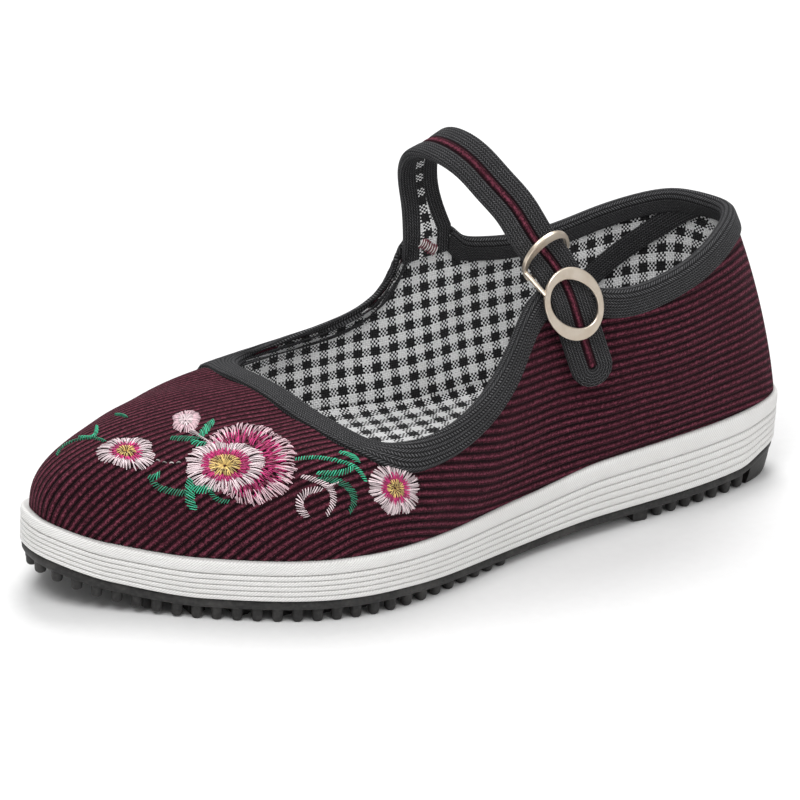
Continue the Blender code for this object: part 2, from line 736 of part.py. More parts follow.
def ring_sections(frame, width, height, band, crest=0.0, flat_foot=False, steps=24):
    """Sections of a flat oval ring, broader at two corners.

    crest makes its outer rim rise at the top; flat_foot makes its foot a bar.
    """
    centre, across, up, out = frame
    sections = []
    for k in range(steps):
        angle = 2 * pi * k / steps
        swell = band * (1 + 0.28 * cos(2 * angle - 2.2))
        rise = crest * max(0.0, sin(angle)) ** 2
        full = 0.45 if flat_foot and sin(angle) < 0 else 1.0
        ray_a = np.sign(cos(angle)) * abs(cos(angle)) ** full
        ray_b = np.sign(sin(angle)) * abs(sin(angle)) ** full
        loop = []
        for shrink, level in ((0, 0), (0, 1), (1, 1), (1, 0)):
            grow = rise * (1 - shrink) - swell * shrink
            a = (width / 2 + grow) * ray_a
            b = (height / 2 + grow) * ray_b
            loop.append(centre + across * a + up * b + out * RING_THICKNESS * (level - 0.5))
        sections.append(loop)
    return sections


def add_block(bm, centre, across, up, out, size):
    """Box with edges along three directions."""
    corners = []
    for c in (-0.5, 0.5):
        ring = []
        for a, b in ((-0.5, -0.5), (0.5, -0.5), (0.5, 0.5), (-0.5, 0.5)):
            ring.append(centre + across * size[0] * a + up * size[1] * b + out * size[2] * c)
        corners.append(ring)
    loft(bm, corners)


def union_into(base, parts, cutters):
    """Join closed solids to a base object with one exact union each."""
    for number, part in enumerate(parts):
        tool = make_object(base.name + "_tool_" + str(number), part, cutters)
        tool.hide_render = True
        tool.display_type = "WIRE"
        join = base.modifiers.new("join", "BOOLEAN")
        join.operation = "UNION"
        join.solver = "EXACT"
        join.object = tool


def buckle_frames():
    """Frames of the front ring and of the keeper ring, taken from the strap that they hold."""
    half = STRAP_THICKNESS / 2 + STRAP_TAPE_STEP
    lift = half + 4.6 * GAP + RING_THICKNESS / 2
    middle = TAIL_LENGTH - RING_BELOW_EAR
    reach = (RING_HEIGHT - RING_BAND) / 2
    above = arch_frame(middle + reach)
    below = arch_frame(middle - reach)
    high = above[0] + above[2] * lift
    low = below[0] + below[2] * lift
    up = unit(high - low)
    across = unit(np.cross(up, above[2] + below[2]))
    front = ((high + low) / 2, across, up, np.cross(across, up))
    place, width, outward, span, travel = arch_frame(middle + KEEPER_RISE)
    lean = radians(KEEPER_LEAN)
    raised = unit(outward * cos(lean) - travel * sin(lean))
    keeper = (place, -width, raised, np.cross(-width, raised))
    return front, keeper


def add_link(bm, start, finish, across, size):
    """Short square bar between two points."""
    along = finish - start
    length = np.linalg.norm(along)
    along = along / length
    side = unit(across - along * np.dot(across, along))
    add_block(bm, (start + finish) / 2, side, np.cross(along, side), along, (size, size, length))


def build_buckle(collection, cutters):
    """Satin metal buckle: an open front ring, and a keeper ring that goes round the strap."""
    front, keeper = buckle_frames()
    bm = bmesh.new()
    loft(bm, ring_sections(front, RING_WIDTH, RING_HEIGHT, RING_BAND), closed_along=True)
    buckle = make_object("buckle", bm, collection, 40)
    second = bmesh.new()
    keeper_ring = ring_sections(keeper, KEEPER_WIDTH, KEEPER_HEIGHT, KEEPER_BAND, KEEPER_CREST, True)
    loft(second, keeper_ring, closed_along=True)
    tools = [second]
    for side in (-1, 1):
        link = bmesh.new()
        start = keeper[0] + keeper[1] * side * (KEEPER_WIDTH / 2 - RING_THICKNESS * 0.4)
        finish = front[0] + front[1] * side * RING_WIDTH * 0.40 + front[2] * RING_HEIGHT * 0.27
        add_link(link, start, finish, front[1], RING_THICKNESS)
        tools.append(link)
    union_into(buckle, tools, cutters)
    return buckle


def build_buckle_loop(collection, cutters):
    """Cloth loop that ties the keeper's foot to the top of the lateral ear."""
    keeper = buckle_frames()[1]
    foot = keeper[0] - keeper[2] * (KEEPER_HEIGHT - KEEPER_BAND) / 2
    inner = (KEEPER_BAND + RING_THICKNESS) * 0.52 + GAP
    outer = inner + LOOP_SKIN
    axis = keeper[1]
    ear_u = knot_of(LATERAL_EAR_ROW)
    ear = surface_point(ear_u, 0) - surface_normal(ear_u, 0) * WALL / 2
    ear = ear + np.array([0, 0, BINDING_THICKNESS + 4 * GAP + 2.5 * LOOP_SKIN])
    ear = ear + axis * np.dot(foot - ear, axis)
    down = unit(ear - foot)
    side = np.cross(down, axis)
    rings = []
    for k in range(LOOP_STEPS):
        angle = 2 * pi * k / LOOP_STEPS
        ray = down * cos(angle) + side * sin(angle)
        rings.append([foot + ray * radius + axis * half * LOOP_LENGTH
                      for radius, half in ((inner, -0.5), (outer, -0.5), (outer, 0.5), (inner, 0.5))])
    bm = bmesh.new()
    loft(bm, rings, closed_along=True)
    loop = make_object("buckle_loop", bm, collection, 40)
    stem = bmesh.new()
    start = foot + down * (inner + LOOP_SKIN * 0.5)
    add_block(stem, (start + ear) / 2, axis, side, down,
              (LOOP_LENGTH * 0.96, 2 * LOOP_SKIN, np.linalg.norm(ear - start)))
    union_into(loop, [stem], cutters)
    return loop


def give_material(piece, name, colour, roughness, metallic=0.0):
    """Principled material, with its colour given in linear light."""
    material = bpy.data.materials.new(name)
    material.use_nodes = True
    shader = material.node_tree.nodes["Principled BSDF"]
    shader.inputs["Base Color"].default_value = (*colour, 1)
    shader.inputs["Roughness"].default_value = roughness
    shader.inputs["Metallic"].default_value = metallic
    material.diffuse_color = (*colour, 1)
    piece.data.materials.append(material)


def centre_on_floor(pieces, tools):
    """Move the shoe so that the middle of its box, on the floor, is the origin."""
    bpy.context.view_layer.update()
    corners = []
    graph = bpy.context.evaluated_depsgraph_get()
    for piece in pieces:
        mesh = piece.evaluated_get(graph).data
        corners += [piece.matrix_world @ vertex.co for vertex in mesh.vertices]
    low = np.min(np.array(corners), axis=0)
    high = np.max(np.array(corners), axis=0)
    shift = np.array([-(low[0] + high[0]) / 2, -(low[1] + high[1]) / 2, -low[2]])
    for piece in pieces + tools:
        piece.location = shift
    print("moved by", shift)


def main():
    for old in list(bpy.data.objects):
        bpy.data.objects.remove(old)
    collection = bpy.data.collections.new("cloth_shoe")
    cutters = bpy.data.collections.new("cutters")
    bpy.context.scene.collection.children.link(collection)
    bpy.context.scene.collection.children.link(cutters)

    outsole = build_outsole(collection, cutters)
    give_material(outsole, "dark_rubber", (0.035, 0.033, 0.033), 0.62)
    midsole = build_midsole(collection)
    give_material(midsole, "white_rubber", (0.78, 0.78, 0.77), 0.55)
    insole = build_insole(collection)
    give_material(insole, "insole_cloth", (0.80, 0.80, 0.78), 0.85)
    upper = build_upper(collection)
    give_material(upper, "corduroy", (0.060, 0.010, 0.022), 0.92)
    binding = build_binding(collection)
    give_material(binding, "binding_tape", (0.030, 0.030, 0.031), 0.80)
    strap = build_strap(collection)
    give_material(strap, "strap_cloth", (0.045, 0.020, 0.025), 0.88)
    buckle = build_buckle(collection, cutters)
    give_material(buckle, "satin_metal", (0.72, 0.63, 0.52), 0.34, 1.0)

    loop = build_buckle_loop(collection, cutters)
    give_material(loop, "loop_tape", (0.030, 0.030, 0.031), 0.80)

    pieces = [outsole, midsole, insole, upper, binding, strap, buckle, loop]
    centre_on_floor(pieces, list(cutters.objects))


main()
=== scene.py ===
from math import cos, pi, radians, sin

import bpy
import numpy as np
from mathutils import Matrix, Vector
from mathutils.bvhtree import BVHTree


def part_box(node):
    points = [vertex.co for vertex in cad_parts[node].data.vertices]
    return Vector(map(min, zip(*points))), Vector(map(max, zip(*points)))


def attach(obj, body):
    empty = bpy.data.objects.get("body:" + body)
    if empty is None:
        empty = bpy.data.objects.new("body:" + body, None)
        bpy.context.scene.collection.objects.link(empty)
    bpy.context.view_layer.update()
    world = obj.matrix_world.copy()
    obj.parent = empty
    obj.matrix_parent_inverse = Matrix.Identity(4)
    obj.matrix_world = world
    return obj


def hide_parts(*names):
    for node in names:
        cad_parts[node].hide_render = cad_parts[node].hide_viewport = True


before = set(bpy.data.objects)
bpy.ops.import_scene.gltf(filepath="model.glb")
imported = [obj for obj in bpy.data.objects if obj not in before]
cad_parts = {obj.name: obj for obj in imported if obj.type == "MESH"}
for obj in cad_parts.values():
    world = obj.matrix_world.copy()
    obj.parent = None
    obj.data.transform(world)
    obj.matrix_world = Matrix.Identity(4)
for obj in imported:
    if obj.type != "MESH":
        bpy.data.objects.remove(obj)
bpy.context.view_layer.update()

# Sizes of the shoe, in metres, as in the part. Model frame: x from the heel's back to the toe,
# y to the outer side, z up from the floor.
SHOE_LENGTH = 0.247
HEEL_WIDTH = 0.0580
WAIST_WIDTH = 0.0645
BALL_WIDTH = 0.0920
HEEL_STACK = 0.0268
BALL_STACK = 0.0192
TOE_STACK = 0.0268
TREAD_LINE = 0.0066
TOE_TREAD_LINE = 0.0160
HEEL_BUMPER_RISE = 0.0115
OUTSOLE_PLATE = 0.0030
STUD_HEIGHT = 0.0040
STUD_WIDTH = 0.0034
STUD_PITCH = 0.0056
BAR_LUG_WIDTH = 0.0050
BAR_LUG_PITCH = 0.0110
HEEL_BLOCK_LENGTH = 0.0610
HEEL_SOLID_LENGTH = 0.0140
FOREFOOT_START = 0.1080
RIB_COUNT = 5
RIB_DEPTH = 0.0005
SMOOTH_BAND = 0.34
OPENING_WIDTH = 0.0700
THROAT_HEIGHT = 0.0510
BACK_HEIGHT = 0.0862
QUARTER_HEIGHT = 0.0755
EAR_HEIGHT = 0.0778
STRAP_EAR_HEIGHT = 0.0775
WALL = 0.0022
FOOT_INSET = 0.0009
TOE_LEDGE = 0.0010
INSOLE_THICKNESS = 0.0025
INSOLE_MARGIN = 0.0016
BINDING_OUTSIDE = 0.0062
BINDING_INSIDE = 0.0078
BINDING_THICKNESS = 0.0008
STRAP_WIDTH = 0.0118
STRAP_ROOT_WIDTH = 0.0150
STRAP_THICKNESS = 0.0022
STRAP_TAPE_WIDTH = 0.0046
STRAP_TAPE_STEP = 0.0004
STRAP_TOP = 0.1105
TAIL_LENGTH = 0.0205
RING_WIDTH = 0.0178
RING_HEIGHT = 0.0218
RING_BAND = 0.0027
RING_THICKNESS = 0.0013
RING_BELOW_EAR = 0.0001
KEEPER_RISE = 0.0156
KEEPER_WIDTH = 0.0168
KEEPER_HEIGHT = 0.0124
KEEPER_BAND = 0.0014
KEEPER_LEAN = 34
LOOP_SKIN = 0.0008
LOOP_LENGTH = 0.0100
GAP = 0.0003

# Sole outline: station, size, lateral and medial half widths as shares of the size
OUTLINE_ROWS = (
    (0.00, HEEL_WIDTH, 0.469, 0.483),
    (0.08, HEEL_WIDTH, 0.471, 0.520),
    (0.18, HEEL_WIDTH, 0.479, 0.530),
    (0.30, HEEL_WIDTH, 0.503, 0.532),
    (0.42, WAIST_WIDTH, 0.515, 0.488),
    (0.54, WAIST_WIDTH, 0.664, 0.566),
    (0.64, BALL_WIDTH, 0.540, 0.451),
    (0.74, BALL_WIDTH, 0.532, 0.462),
    (0.84, BALL_WIDTH, 0.434, 0.462),
    (0.93, BALL_WIDTH, 0.323, 0.392),
    (1.00, BALL_WIDTH, 0.261, 0.302),
)
OUTLINE_ROUNDNESS = 0.72
# Height of the white band's top edge: station, size, share of the size
FEATHER_ROWS = (
    (0.00, HEEL_STACK, 1.000),
    (0.12, HEEL_STACK, 0.950),
    (0.30, HEEL_STACK, 0.888),
    (0.42, BALL_STACK, 1.047),
    (0.54, BALL_STACK, 1.005),
    (0.64, BALL_STACK, 1.010),
    (0.76, BALL_STACK, 0.985),
    (0.84, BALL_STACK, 0.980),
    (0.93, TOE_STACK, 0.795),
    (1.00, TOE_STACK, 1.000),
)
# Height of the line between the white band and the black outsole: station, size, share
TREAD_ROWS = (
    (0.00, HEEL_BUMPER_RISE, 1.000),
    (0.035, HEEL_BUMPER_RISE, 0.880),
    (0.080, TREAD_LINE, 1.080),
    (0.18, TREAD_LINE, 0.965),
    (0.30, TREAD_LINE, 0.930),
    (0.43, TREAD_LINE, 0.740),
    (0.54, TREAD_LINE, 0.860),
    (0.64, TREAD_LINE, 1.045),
    (0.84, TREAD_LINE, 1.055),
    (0.93, TOE_TREAD_LINE, 0.630),
    (1.00, TOE_TREAD_LINE, 1.000),
)
# Collar: foot angle, x share, y share, height size, z share, round, bulge
COLLAR_ROWS = (
    (0, 0.684, 0.000, THROAT_HEIGHT, 0.988, 2.70, 0.0),
    (27, 0.678, 0.170, THROAT_HEIGHT, 0.976, 2.70, 0.0),
    (45, 0.662, 0.370, THROAT_HEIGHT, 0.950, 2.60, 0.0),
    (60, 0.639, 0.510, THROAT_HEIGHT, 0.922, 2.20, 0.0002),
    (72, 0.603, 0.572, THROAT_HEIGHT, 0.926, 1.70, 0.0008),
    (81, 0.548, 0.566, THROAT_HEIGHT, 0.975, 1.40, 0.0014),
    (88, 0.496, 0.524, QUARTER_HEIGHT, 0.738, 1.20, 0.0018),
    (94, 0.451, 0.450, QUARTER_HEIGHT, 0.872, 1.10, 0.0020),
    (99, 0.415, 0.372, EAR_HEIGHT, 0.965, 1.05, 0.0020),
    (103, 0.385, 0.323, EAR_HEIGHT, 0.999, 1.05, 0.0020),
    (107, 0.353, 0.325, EAR_HEIGHT, 0.993, 1.05, 0.0020),
    (111.5, 0.328, 0.362, QUARTER_HEIGHT, 1.010, 1.05, 0.0020),
    (117, 0.297, 0.392, QUARTER_HEIGHT, 1.000, 1.05, 0.0020),
    (126, 0.245, 0.392, QUARTER_HEIGHT, 1.022, 1.05, 0.0018),
    (137, 0.182, 0.336, BACK_HEIGHT, 0.940, 1.05, 0.0016),
    (149, 0.131, 0.232, BACK_HEIGHT, 0.984, 1.05, 0.0014),
    (164, 0.095, 0.100, BACK_HEIGHT, 1.000, 1.05, 0.0014),
    (180, 0.084, 0.000, BACK_HEIGHT, 0.998, 1.05, 0.0014),
    (196, 0.091, -0.110, BACK_HEIGHT, 0.994, 1.05, 0.0014),
    (211, 0.111, -0.262, BACK_HEIGHT, 0.976, 1.05, 0.0014),
    (223, 0.157, -0.358, BACK_HEIGHT, 0.938, 1.05, 0.0016),
    (233, 0.206, -0.402, QUARTER_HEIGHT, 1.022, 1.05, 0.0018),
    (242, 0.259, -0.424, QUARTER_HEIGHT, 0.973, 1.05, 0.0020),
    (248.5, 0.310, -0.438, QUARTER_HEIGHT, 0.952, 1.05, 0.0020),
    (254, 0.352, -0.450, QUARTER_HEIGHT, 0.957, 1.05, 0.0020),
    (258, 0.378, -0.458, STRAP_EAR_HEIGHT, 0.952, 1.05, 0.0020),
    (261.5, 0.397, -0.460, STRAP_EAR_HEIGHT, 0.998, 1.05, 0.0020),
    (264.5, 0.424, -0.462, STRAP_EAR_HEIGHT, 1.002, 1.05, 0.0020),
    (268, 0.448, -0.466, STRAP_EAR_HEIGHT, 0.984, 1.08, 0.0020),
    (272.5, 0.461, -0.478, STRAP_EAR_HEIGHT, 0.872, 1.15, 0.0020),
    (278, 0.484, -0.494, STRAP_EAR_HEIGHT, 0.750, 1.25, 0.0018),
    (286, 0.530, -0.508, THROAT_HEIGHT, 1.025, 1.40, 0.0014),
    (296, 0.601, -0.514, THROAT_HEIGHT, 0.950, 1.80, 0.0008),
    (307, 0.658, -0.504, THROAT_HEIGHT, 0.906, 2.15, 0.0003),
    (320, 0.686, -0.420, THROAT_HEIGHT, 0.918, 2.40, 0.0),
    (338, 0.690, -0.220, THROAT_HEIGHT, 0.966, 2.60, 0.0),
)
# Collar rows at the heel's middle, under the buckle and at both ends of the strap's root
HEEL_ROW = 17
LATERAL_EAR_ROW = 9.5
MEDIAL_EAR_FRONT_ROW = 28.0
MEDIAL_EAR_BACK_ROW = 26.0
TAIL_DRIFT = 0.016
# Strap's arch: x, y and height as shares, and the turn of its width in degrees
ARCH_ROWS = (
    (0.432, -0.476, 0.800, 0),
    (0.443, -0.450, 0.905, 8),
    (0.447, -0.360, 0.985, 24),
    (0.443, -0.220, 1.012, 34),
    (0.432, -0.064, 0.994, 40),
    (0.421, 0.043, 0.953, 40),
    (0.409, 0.143, 0.908, 38),
    (0.397, 0.250, 0.838, 33),
    (0.384, 0.307, 0.791, 27),
)

# Soft dents of the worn-in cloth, placed on the outer face, in millimetres:
# start x, y, z, end x, y, z, half width, depth
DENT_ROWS = (
    (166, 30, 44, 190, 36, 32, 5.0, 0.55),
    (176, 12, 50, 206, 22, 38, 6.0, 0.40),
    (172, -16, 50, 204, -24, 38, 6.0, 0.45),
    (150, 44, 36, 168, 46, 26, 5.0, 0.50),
    (120, 44, 44, 136, 47, 28, 5.0, 0.45),
    (98, 36, 62, 112, 40, 40, 5.5, 0.40),
    (70, 32, 62, 62, 30, 36, 7.0, 0.45),
    (36, 27, 70, 30, 26, 44, 7.0, 0.40),
    (128, -40, 46, 146, -40, 28, 5.0, 0.50),
    (96, -36, 60, 104, -36, 38, 6.0, 0.45),
    (52, -30, 66, 46, -29, 40, 7.0, 0.45),
)


def spline(knots, values, period=None):
    """Cubic spline through values at knots; natural ends, or periodic when period is given."""
    knots = np.asarray(knots, float)
    values = np.asarray(values, float)
    count = len(knots)
    if period is None:
        steps = np.diff(knots)
        slopes = np.diff(values, axis=0) / steps[:, None]
        matrix = np.eye(count)
        right = np.zeros_like(values)
        for i in range(1, count - 1):
            matrix[i, i - 1] = steps[i - 1]
            matrix[i, i] = 2 * (steps[i - 1] + steps[i])
            matrix[i, i + 1] = steps[i]
            right[i] = 6 * (slopes[i] - slopes[i - 1])
    else:
        steps = np.diff(np.append(knots, knots[0] + period))
        slopes = (np.roll(values, -1, axis=0) - values) / steps[:, None]
        matrix = np.zeros((count, count))
        right = np.zeros_like(values)
        for i in range(count):
            matrix[i, (i - 1) % count] += steps[i - 1]
            matrix[i, i] += 2 * (steps[i - 1] + steps[i])
            matrix[i, (i + 1) % count] += steps[i]
            right[i] = 6 * (slopes[i] - slopes[i - 1])
    bends = np.linalg.solve(matrix, right)

    def value_at(at):
        at = np.atleast_1d(np.asarray(at, float))
        if period is not None:
            at = knots[0] + (at - knots[0]) % period
        i = np.clip(np.searchsorted(knots, at, side="right") - 1, 0, len(steps) - 1)
        j = (i + 1) % count
        h = steps[i][:, None]
        a = (at - knots[i])[:, None]
        b = h - a
        curve = (bends[i] * b ** 3 + bends[j] * a ** 3) / (6 * h)
        return curve + (values[i] / h - bends[i] * h / 6) * b + (values[j] / h - bends[j] * h / 6) * a

    return value_at


def steady(rows):
    """Curve through (station, size, share) rows that does not overshoot between them."""
    at = np.array([row[0] for row in rows])
    value = np.array([row[1] * row[2] for row in rows])
    rise = np.diff(value) / np.diff(at)
    slope = np.zeros(len(at))
    same = rise[1:] * rise[:-1] > 0
    slope[1:-1] = np.where(same, 2 * rise[1:] * rise[:-1] / (rise[1:] + rise[:-1] + 1e-12), 0)
    slope[0] = rise[0]
    slope[-1] = rise[-1]

    def value_at(station):
        station = np.clip(np.atleast_1d(station), 0, 1)
        i = np.clip(np.searchsorted(at, station, side="right") - 1, 0, len(at) - 2)
        h = at[i + 1] - at[i]
        t = (station - at[i]) / h
        start = value[i] * (1 + 2 * t) * (1 - t) ** 2 + slope[i] * h * t * (1 - t) ** 2
        return start + value[i + 1] * t * t * (3 - 2 * t) + slope[i + 1] * h * t * t * (t - 1)

    return value_at


feather = steady(FEATHER_ROWS)
tread = steady(TREAD_ROWS)
half_widths = spline([row[0] for row in OUTLINE_ROWS],
                     [(row[1] * row[2], row[1] * row[3]) for row in OUTLINE_ROWS])


def outline(theta, inset=0.0):
    """Points of the sole outline at angles theta (0 toe, pi heel), moved in by inset."""
    theta = np.atleast_1d(np.asarray(theta, float))

    def raw(angle):
        station = (1 + np.cos(angle)) / 2
        widths = half_widths(station)
        side = np.where(np.sin(angle) >= 0, widths[:, 0], -widths[:, 1])
        return np.stack([SHOE_LENGTH * station, side * np.abs(np.sin(angle)) ** OUTLINE_ROUNDNESS], 1)

    step = 0.002
    along = raw(theta + step) - raw(theta - step)
    along /= np.linalg.norm(along, axis=1)[:, None]
    outward = np.stack([along[:, 1], -along[:, 0]], 1)
    return raw(theta) - outward * np.reshape(inset, (-1, 1))


def foot_line(theta, more=0.0):
    """Where the upper stands on the sole."""
    theta = np.atleast_1d(np.asarray(theta, float))
    ledge = TOE_LEDGE * ((1 + np.cos(theta)) / 2) ** 6
    return outline(theta, FOOT_INSET + more + ledge)


def station_of(x):
    """Share of the shoe's length at x, 0 at the heel."""
    return np.clip(np.asarray(x) / SHOE_LENGTH, 0, 1)


def lengths_along(line):
    """Distance travelled at each point of a line."""
    return np.append(0, np.cumsum(np.linalg.norm(np.diff(line, axis=0), axis=1)))


def unit(vectors):
    """The vectors at length one."""
    vectors = np.asarray(vectors, float)
    return vectors / np.linalg.norm(vectors, axis=-1, keepdims=True)


def collar_curves():
    """Curve round the collar by its parameter u from 0 to 1, and the parameter of each row."""
    rows = np.array([(radians(foot), x * SHOE_LENGTH, y * OPENING_WIDTH, size * z, full, bulge)
                     for foot, x, y, size, z, full, bulge in COLLAR_ROWS])
    feet = foot_line(rows[:, 0])
    middle = np.column_stack([(rows[:, 1] + feet[:, 0]) / 2, (rows[:, 2] + feet[:, 1]) / 2, rows[:, 3]])
    chords = np.linalg.norm(np.roll(middle, -1, axis=0) - middle, axis=1)
    knots = np.append(0, np.cumsum(chords))[:-1] / chords.sum()
    rows[:, 0] -= knots * 2 * pi
    return spline(knots, rows, period=1.0), knots


collar, collar_knots = collar_curves()


def knot_of(row):
    """Collar parameter at a row number, which may lie between two rows."""
    ends = np.append(collar_knots, 1.0)
    return float(np.interp(row, np.arange(len(ends)), ends))


HEEL_U = knot_of(HEEL_ROW)

# The upper's outer face, sampled once: columns from the collar down to the sole
SKIN_COLUMNS = 1440
SKIN_SHARES = 128


def sample_skin():
    """Points down each column at even distances, and the columns' lengths."""
    us = np.arange(SKIN_COLUMNS) / SKIN_COLUMNS
    rows = collar(us)
    foot = rows[:, 0] + us * 2 * pi
    base = foot_line(foot)
    floor = feather(station_of(base[:, 0])) + GAP
    turn = np.linspace(1, 0, 65) * pi / 2
    ahead = unit(outline(foot + 0.004) - outline(foot - 0.004))
    table = np.empty((SKIN_COLUMNS, SKIN_SHARES + 1, 3))
    lengths = np.empty(SKIN_COLUMNS)
    for k in range(SKIN_COLUMNS):
        reach = np.cos(turn) ** (2 / rows[k, 4])
        rise = np.sin(turn) ** (2 / rows[k, 4])
        swell = 4 * rows[k, 5] * rise * (1 - rise)
        line = np.column_stack([
            rows[k, 1] + (base[k, 0] - rows[k, 1]) * reach + ahead[k, 1] * swell,
            rows[k, 2] + (base[k, 1] - rows[k, 2]) * reach - ahead[k, 0] * swell,
            floor[k] + (rows[k, 3] - floor[k]) * rise])
        travelled = lengths_along(line)
        lengths[k] = travelled[-1]
        even = np.linspace(0, travelled[-1], SKIN_SHARES + 1)
        for c in range(3):
            table[k, :, c] = np.interp(even, travelled, line[:, c])
    return table, lengths


skin_table, skin_lengths = sample_skin()


def column_length(u):
    """Distance from the collar down to the sole at u."""
    at = np.asarray(u, float) % 1.0 * SKIN_COLUMNS
    i = np.floor(at).astype(int) % SKIN_COLUMNS
    t = at - np.floor(at)
    return skin_lengths[i] * (1 - t) + skin_lengths[(i + 1) % SKIN_COLUMNS] * t


def skin(u, down):
    """Points of the upper's outer face, a distance down their columns from the collar."""
    u, down = np.broadcast_arrays(np.asarray(u, float), np.asarray(down, float))
    at = u % 1.0 * SKIN_COLUMNS
    i = np.floor(at).astype(int) % SKIN_COLUMNS
    t = (at - np.floor(at))[..., None]
    share = down / column_length(u) * SKIN_SHARES
    j = np.clip(np.floor(share).astype(int), 0, SKIN_SHARES - 1)
    s = (share - j)[..., None]
    near = skin_table[i, j] * (1 - s) + skin_table[i, j + 1] * s
    n = (i + 1) % SKIN_COLUMNS
    far = skin_table[n, j] * (1 - s) + skin_table[n, j + 1] * s
    return near * (1 - t) + far * t


def skin_normal(u, down):
    """Outward direction of the upper's outer face."""
    down = np.maximum(down, 0.0006)
    around = skin(u + 0.0012, down) - skin(u - 0.0012, down)
    downward = skin(u, down + 0.0006) - skin(u, down - 0.0006)
    return unit(np.cross(downward, around))


def collar_slant(u):
    """How much further down a column a tape of constant width reaches, where columns run slanted."""
    edge = unit(skin(u + 0.001, 0.0) - skin(u - 0.001, 0.0))
    down = unit(skin(u, 0.002) - skin(u, 0.0))
    return 1 / np.maximum(np.linalg.norm(np.cross(edge, down), axis=-1), 0.45)


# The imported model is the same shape, moved so that its box is centred on the origin
sole_low, sole_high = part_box("midsole")
band_sides = outline(np.linspace(0, 2 * pi, 61), -RIB_DEPTH)[:, 1]
SHIFT = np.array([sole_low[0] + RIB_DEPTH,
                  (sole_low[1] + sole_high[1] - band_sides.min() - band_sides.max()) / 2, 0.0])


def dented(points, normals):
    """Points moved in along their normals where the listed dents lie."""
    points = points.copy()
    flat = points.reshape(-1, 3) * 1000
    depth = np.zeros(len(flat))
    for x0, y0, z0, x1, y1, z1, width, deep in DENT_ROWS:
        start = np.array([x0, y0, z0], float)
        run = np.array([x1, y1, z1], float) - start
        t = np.clip((flat - start) @ run / (run @ run), 0, 1)
        gap = np.linalg.norm(flat - start - t[:, None] * run, axis=1)
        hollow = np.exp(-(gap / width) ** 2)
        rim = np.exp(-((gap - 1.7 * width) / width) ** 2)
        depth += deep * (hollow - 0.45 * rim)
    return points - normals * (depth * 0.001).reshape(points.shape[:-1])[..., None]


# Mesh building

def new_piece(name, verts, faces, uv=None, sharp=None):
    """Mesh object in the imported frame; uv holds one pair for each face corner, in millimetres."""
    mesh = bpy.data.meshes.new(name)
    verts = np.asarray(verts, float).reshape(-1, 3) + SHIFT
    mesh.from_pydata(verts.tolist(), [], [list(face) for face in faces])
    if uv is not None:
        layer = mesh.uv_layers.new(name="cloth")
        layer.data.foreach_set("uv", np.asarray(uv, np.float32).ravel())
    mesh.shade_smooth()
    if sharp is not None:
        mesh.set_sharp_from_angle(angle=radians(sharp))
    piece = bpy.data.objects.new(name, mesh)
    bpy.context.scene.collection.objects.link(piece)
    return piece


def grid_faces(rows, columns, closed_rows, closed_columns):
    """Quads of a grid, and the grid corners without wrapping, for the face corners' uv."""
    i, j = np.meshgrid(np.arange(rows if closed_rows else rows - 1),
                       np.arange(columns if closed_columns else columns - 1), indexing="ij")
    i = i.ravel()
    j = j.ravel()
    corners = np.stack([np.stack([i, j], 1), np.stack([i + 1, j], 1),
                        np.stack([i + 1, j + 1], 1), np.stack([i, j + 1], 1)], 1)
    index = (corners[..., 0] % rows) * columns + corners[..., 1] % columns
    return index, corners


def grid_piece(name, points, uv=None, closed_rows=False, sharp=None):
    """Closed solid from rings of points; open ends are capped. Faces point outward."""
    rows, columns = points.shape[:2]
    faces, corners = grid_faces(rows, columns, closed_rows, True)
    flat = points.reshape(-1, 3)
    tri = flat[faces]
    volume = np.einsum("ij,ij->i", tri[:, 0], np.cross(tri[:, 1], tri[:, 2])).sum()
    volume += np.einsum("ij,ij->i", tri[:, 0], np.cross(tri[:, 2], tri[:, 3])).sum()
    if volume < 0:
        faces = faces[:, ::-1]
        corners = corners[:, ::-1]
    faces = faces.tolist()
    if uv is None:
        pairs = None
    else:
        pairs = uv[corners[..., 0], corners[..., 1]].reshape(-1, 2)
    if not closed_rows:
        first = list(range(columns))
        last = list(range((rows - 1) * columns, rows * columns))
        caps = cap_turns(faces, first, last)
        faces += caps
        if pairs is not None:
            extra = [uv[0, k % columns] for k in caps[0]]
            extra += [uv[rows - 1, k % columns] for k in caps[1]]
            pairs = np.vstack([pairs, np.array(extra)])
    return new_piece(name, points, faces, pairs, sharp)


def cap_turns(faces, first, last):
    """Both end caps, each turned against the side faces that share its edges."""
    used = set()
    for face in faces:
        for k in range(4):
            used.add((face[k], face[(k + 1) % 4]))
    caps = []
    for loop in (first, last):
        caps.append(loop[::-1] if (loop[0], loop[1]) in used else loop)
    return caps


def slab_piece(name, rings, uv=None, sharp=None):
    """Closed sole-shaped slab from stacked rings, capped from the lateral to the medial edge."""
    rings = np.asarray(rings)
    count, size = rings.shape[:2]
    faces, corners = grid_faces(count, size, False, True)
    faces = faces[:, ::-1]
    corners = corners[:, ::-1]
    pairs = None if uv is None else uv[corners[..., 0], corners[..., 1]].reshape(-1, 2).tolist()
    faces = faces.tolist()
    half = size // 2
    for base, turn in ((0, True), ((count - 1) * size, False)):
        strips = [[0, 1, size - 1]]
        strips += [[k, k + 1, size - k - 1, size - k] for k in range(1, half - 1)]
        strips.append([half - 1, half, half + 1])
        for strip in strips:
            face = [base + k for k in strip]
            faces.append(face[::-1] if turn else face)
            if pairs is not None:
                spots = rings.reshape(-1, 3)[faces[-1]]
                pairs += [[spot[0] * 1000, spot[1] * 1000] for spot in spots]
    return new_piece(name, rings, faces, pairs, sharp)


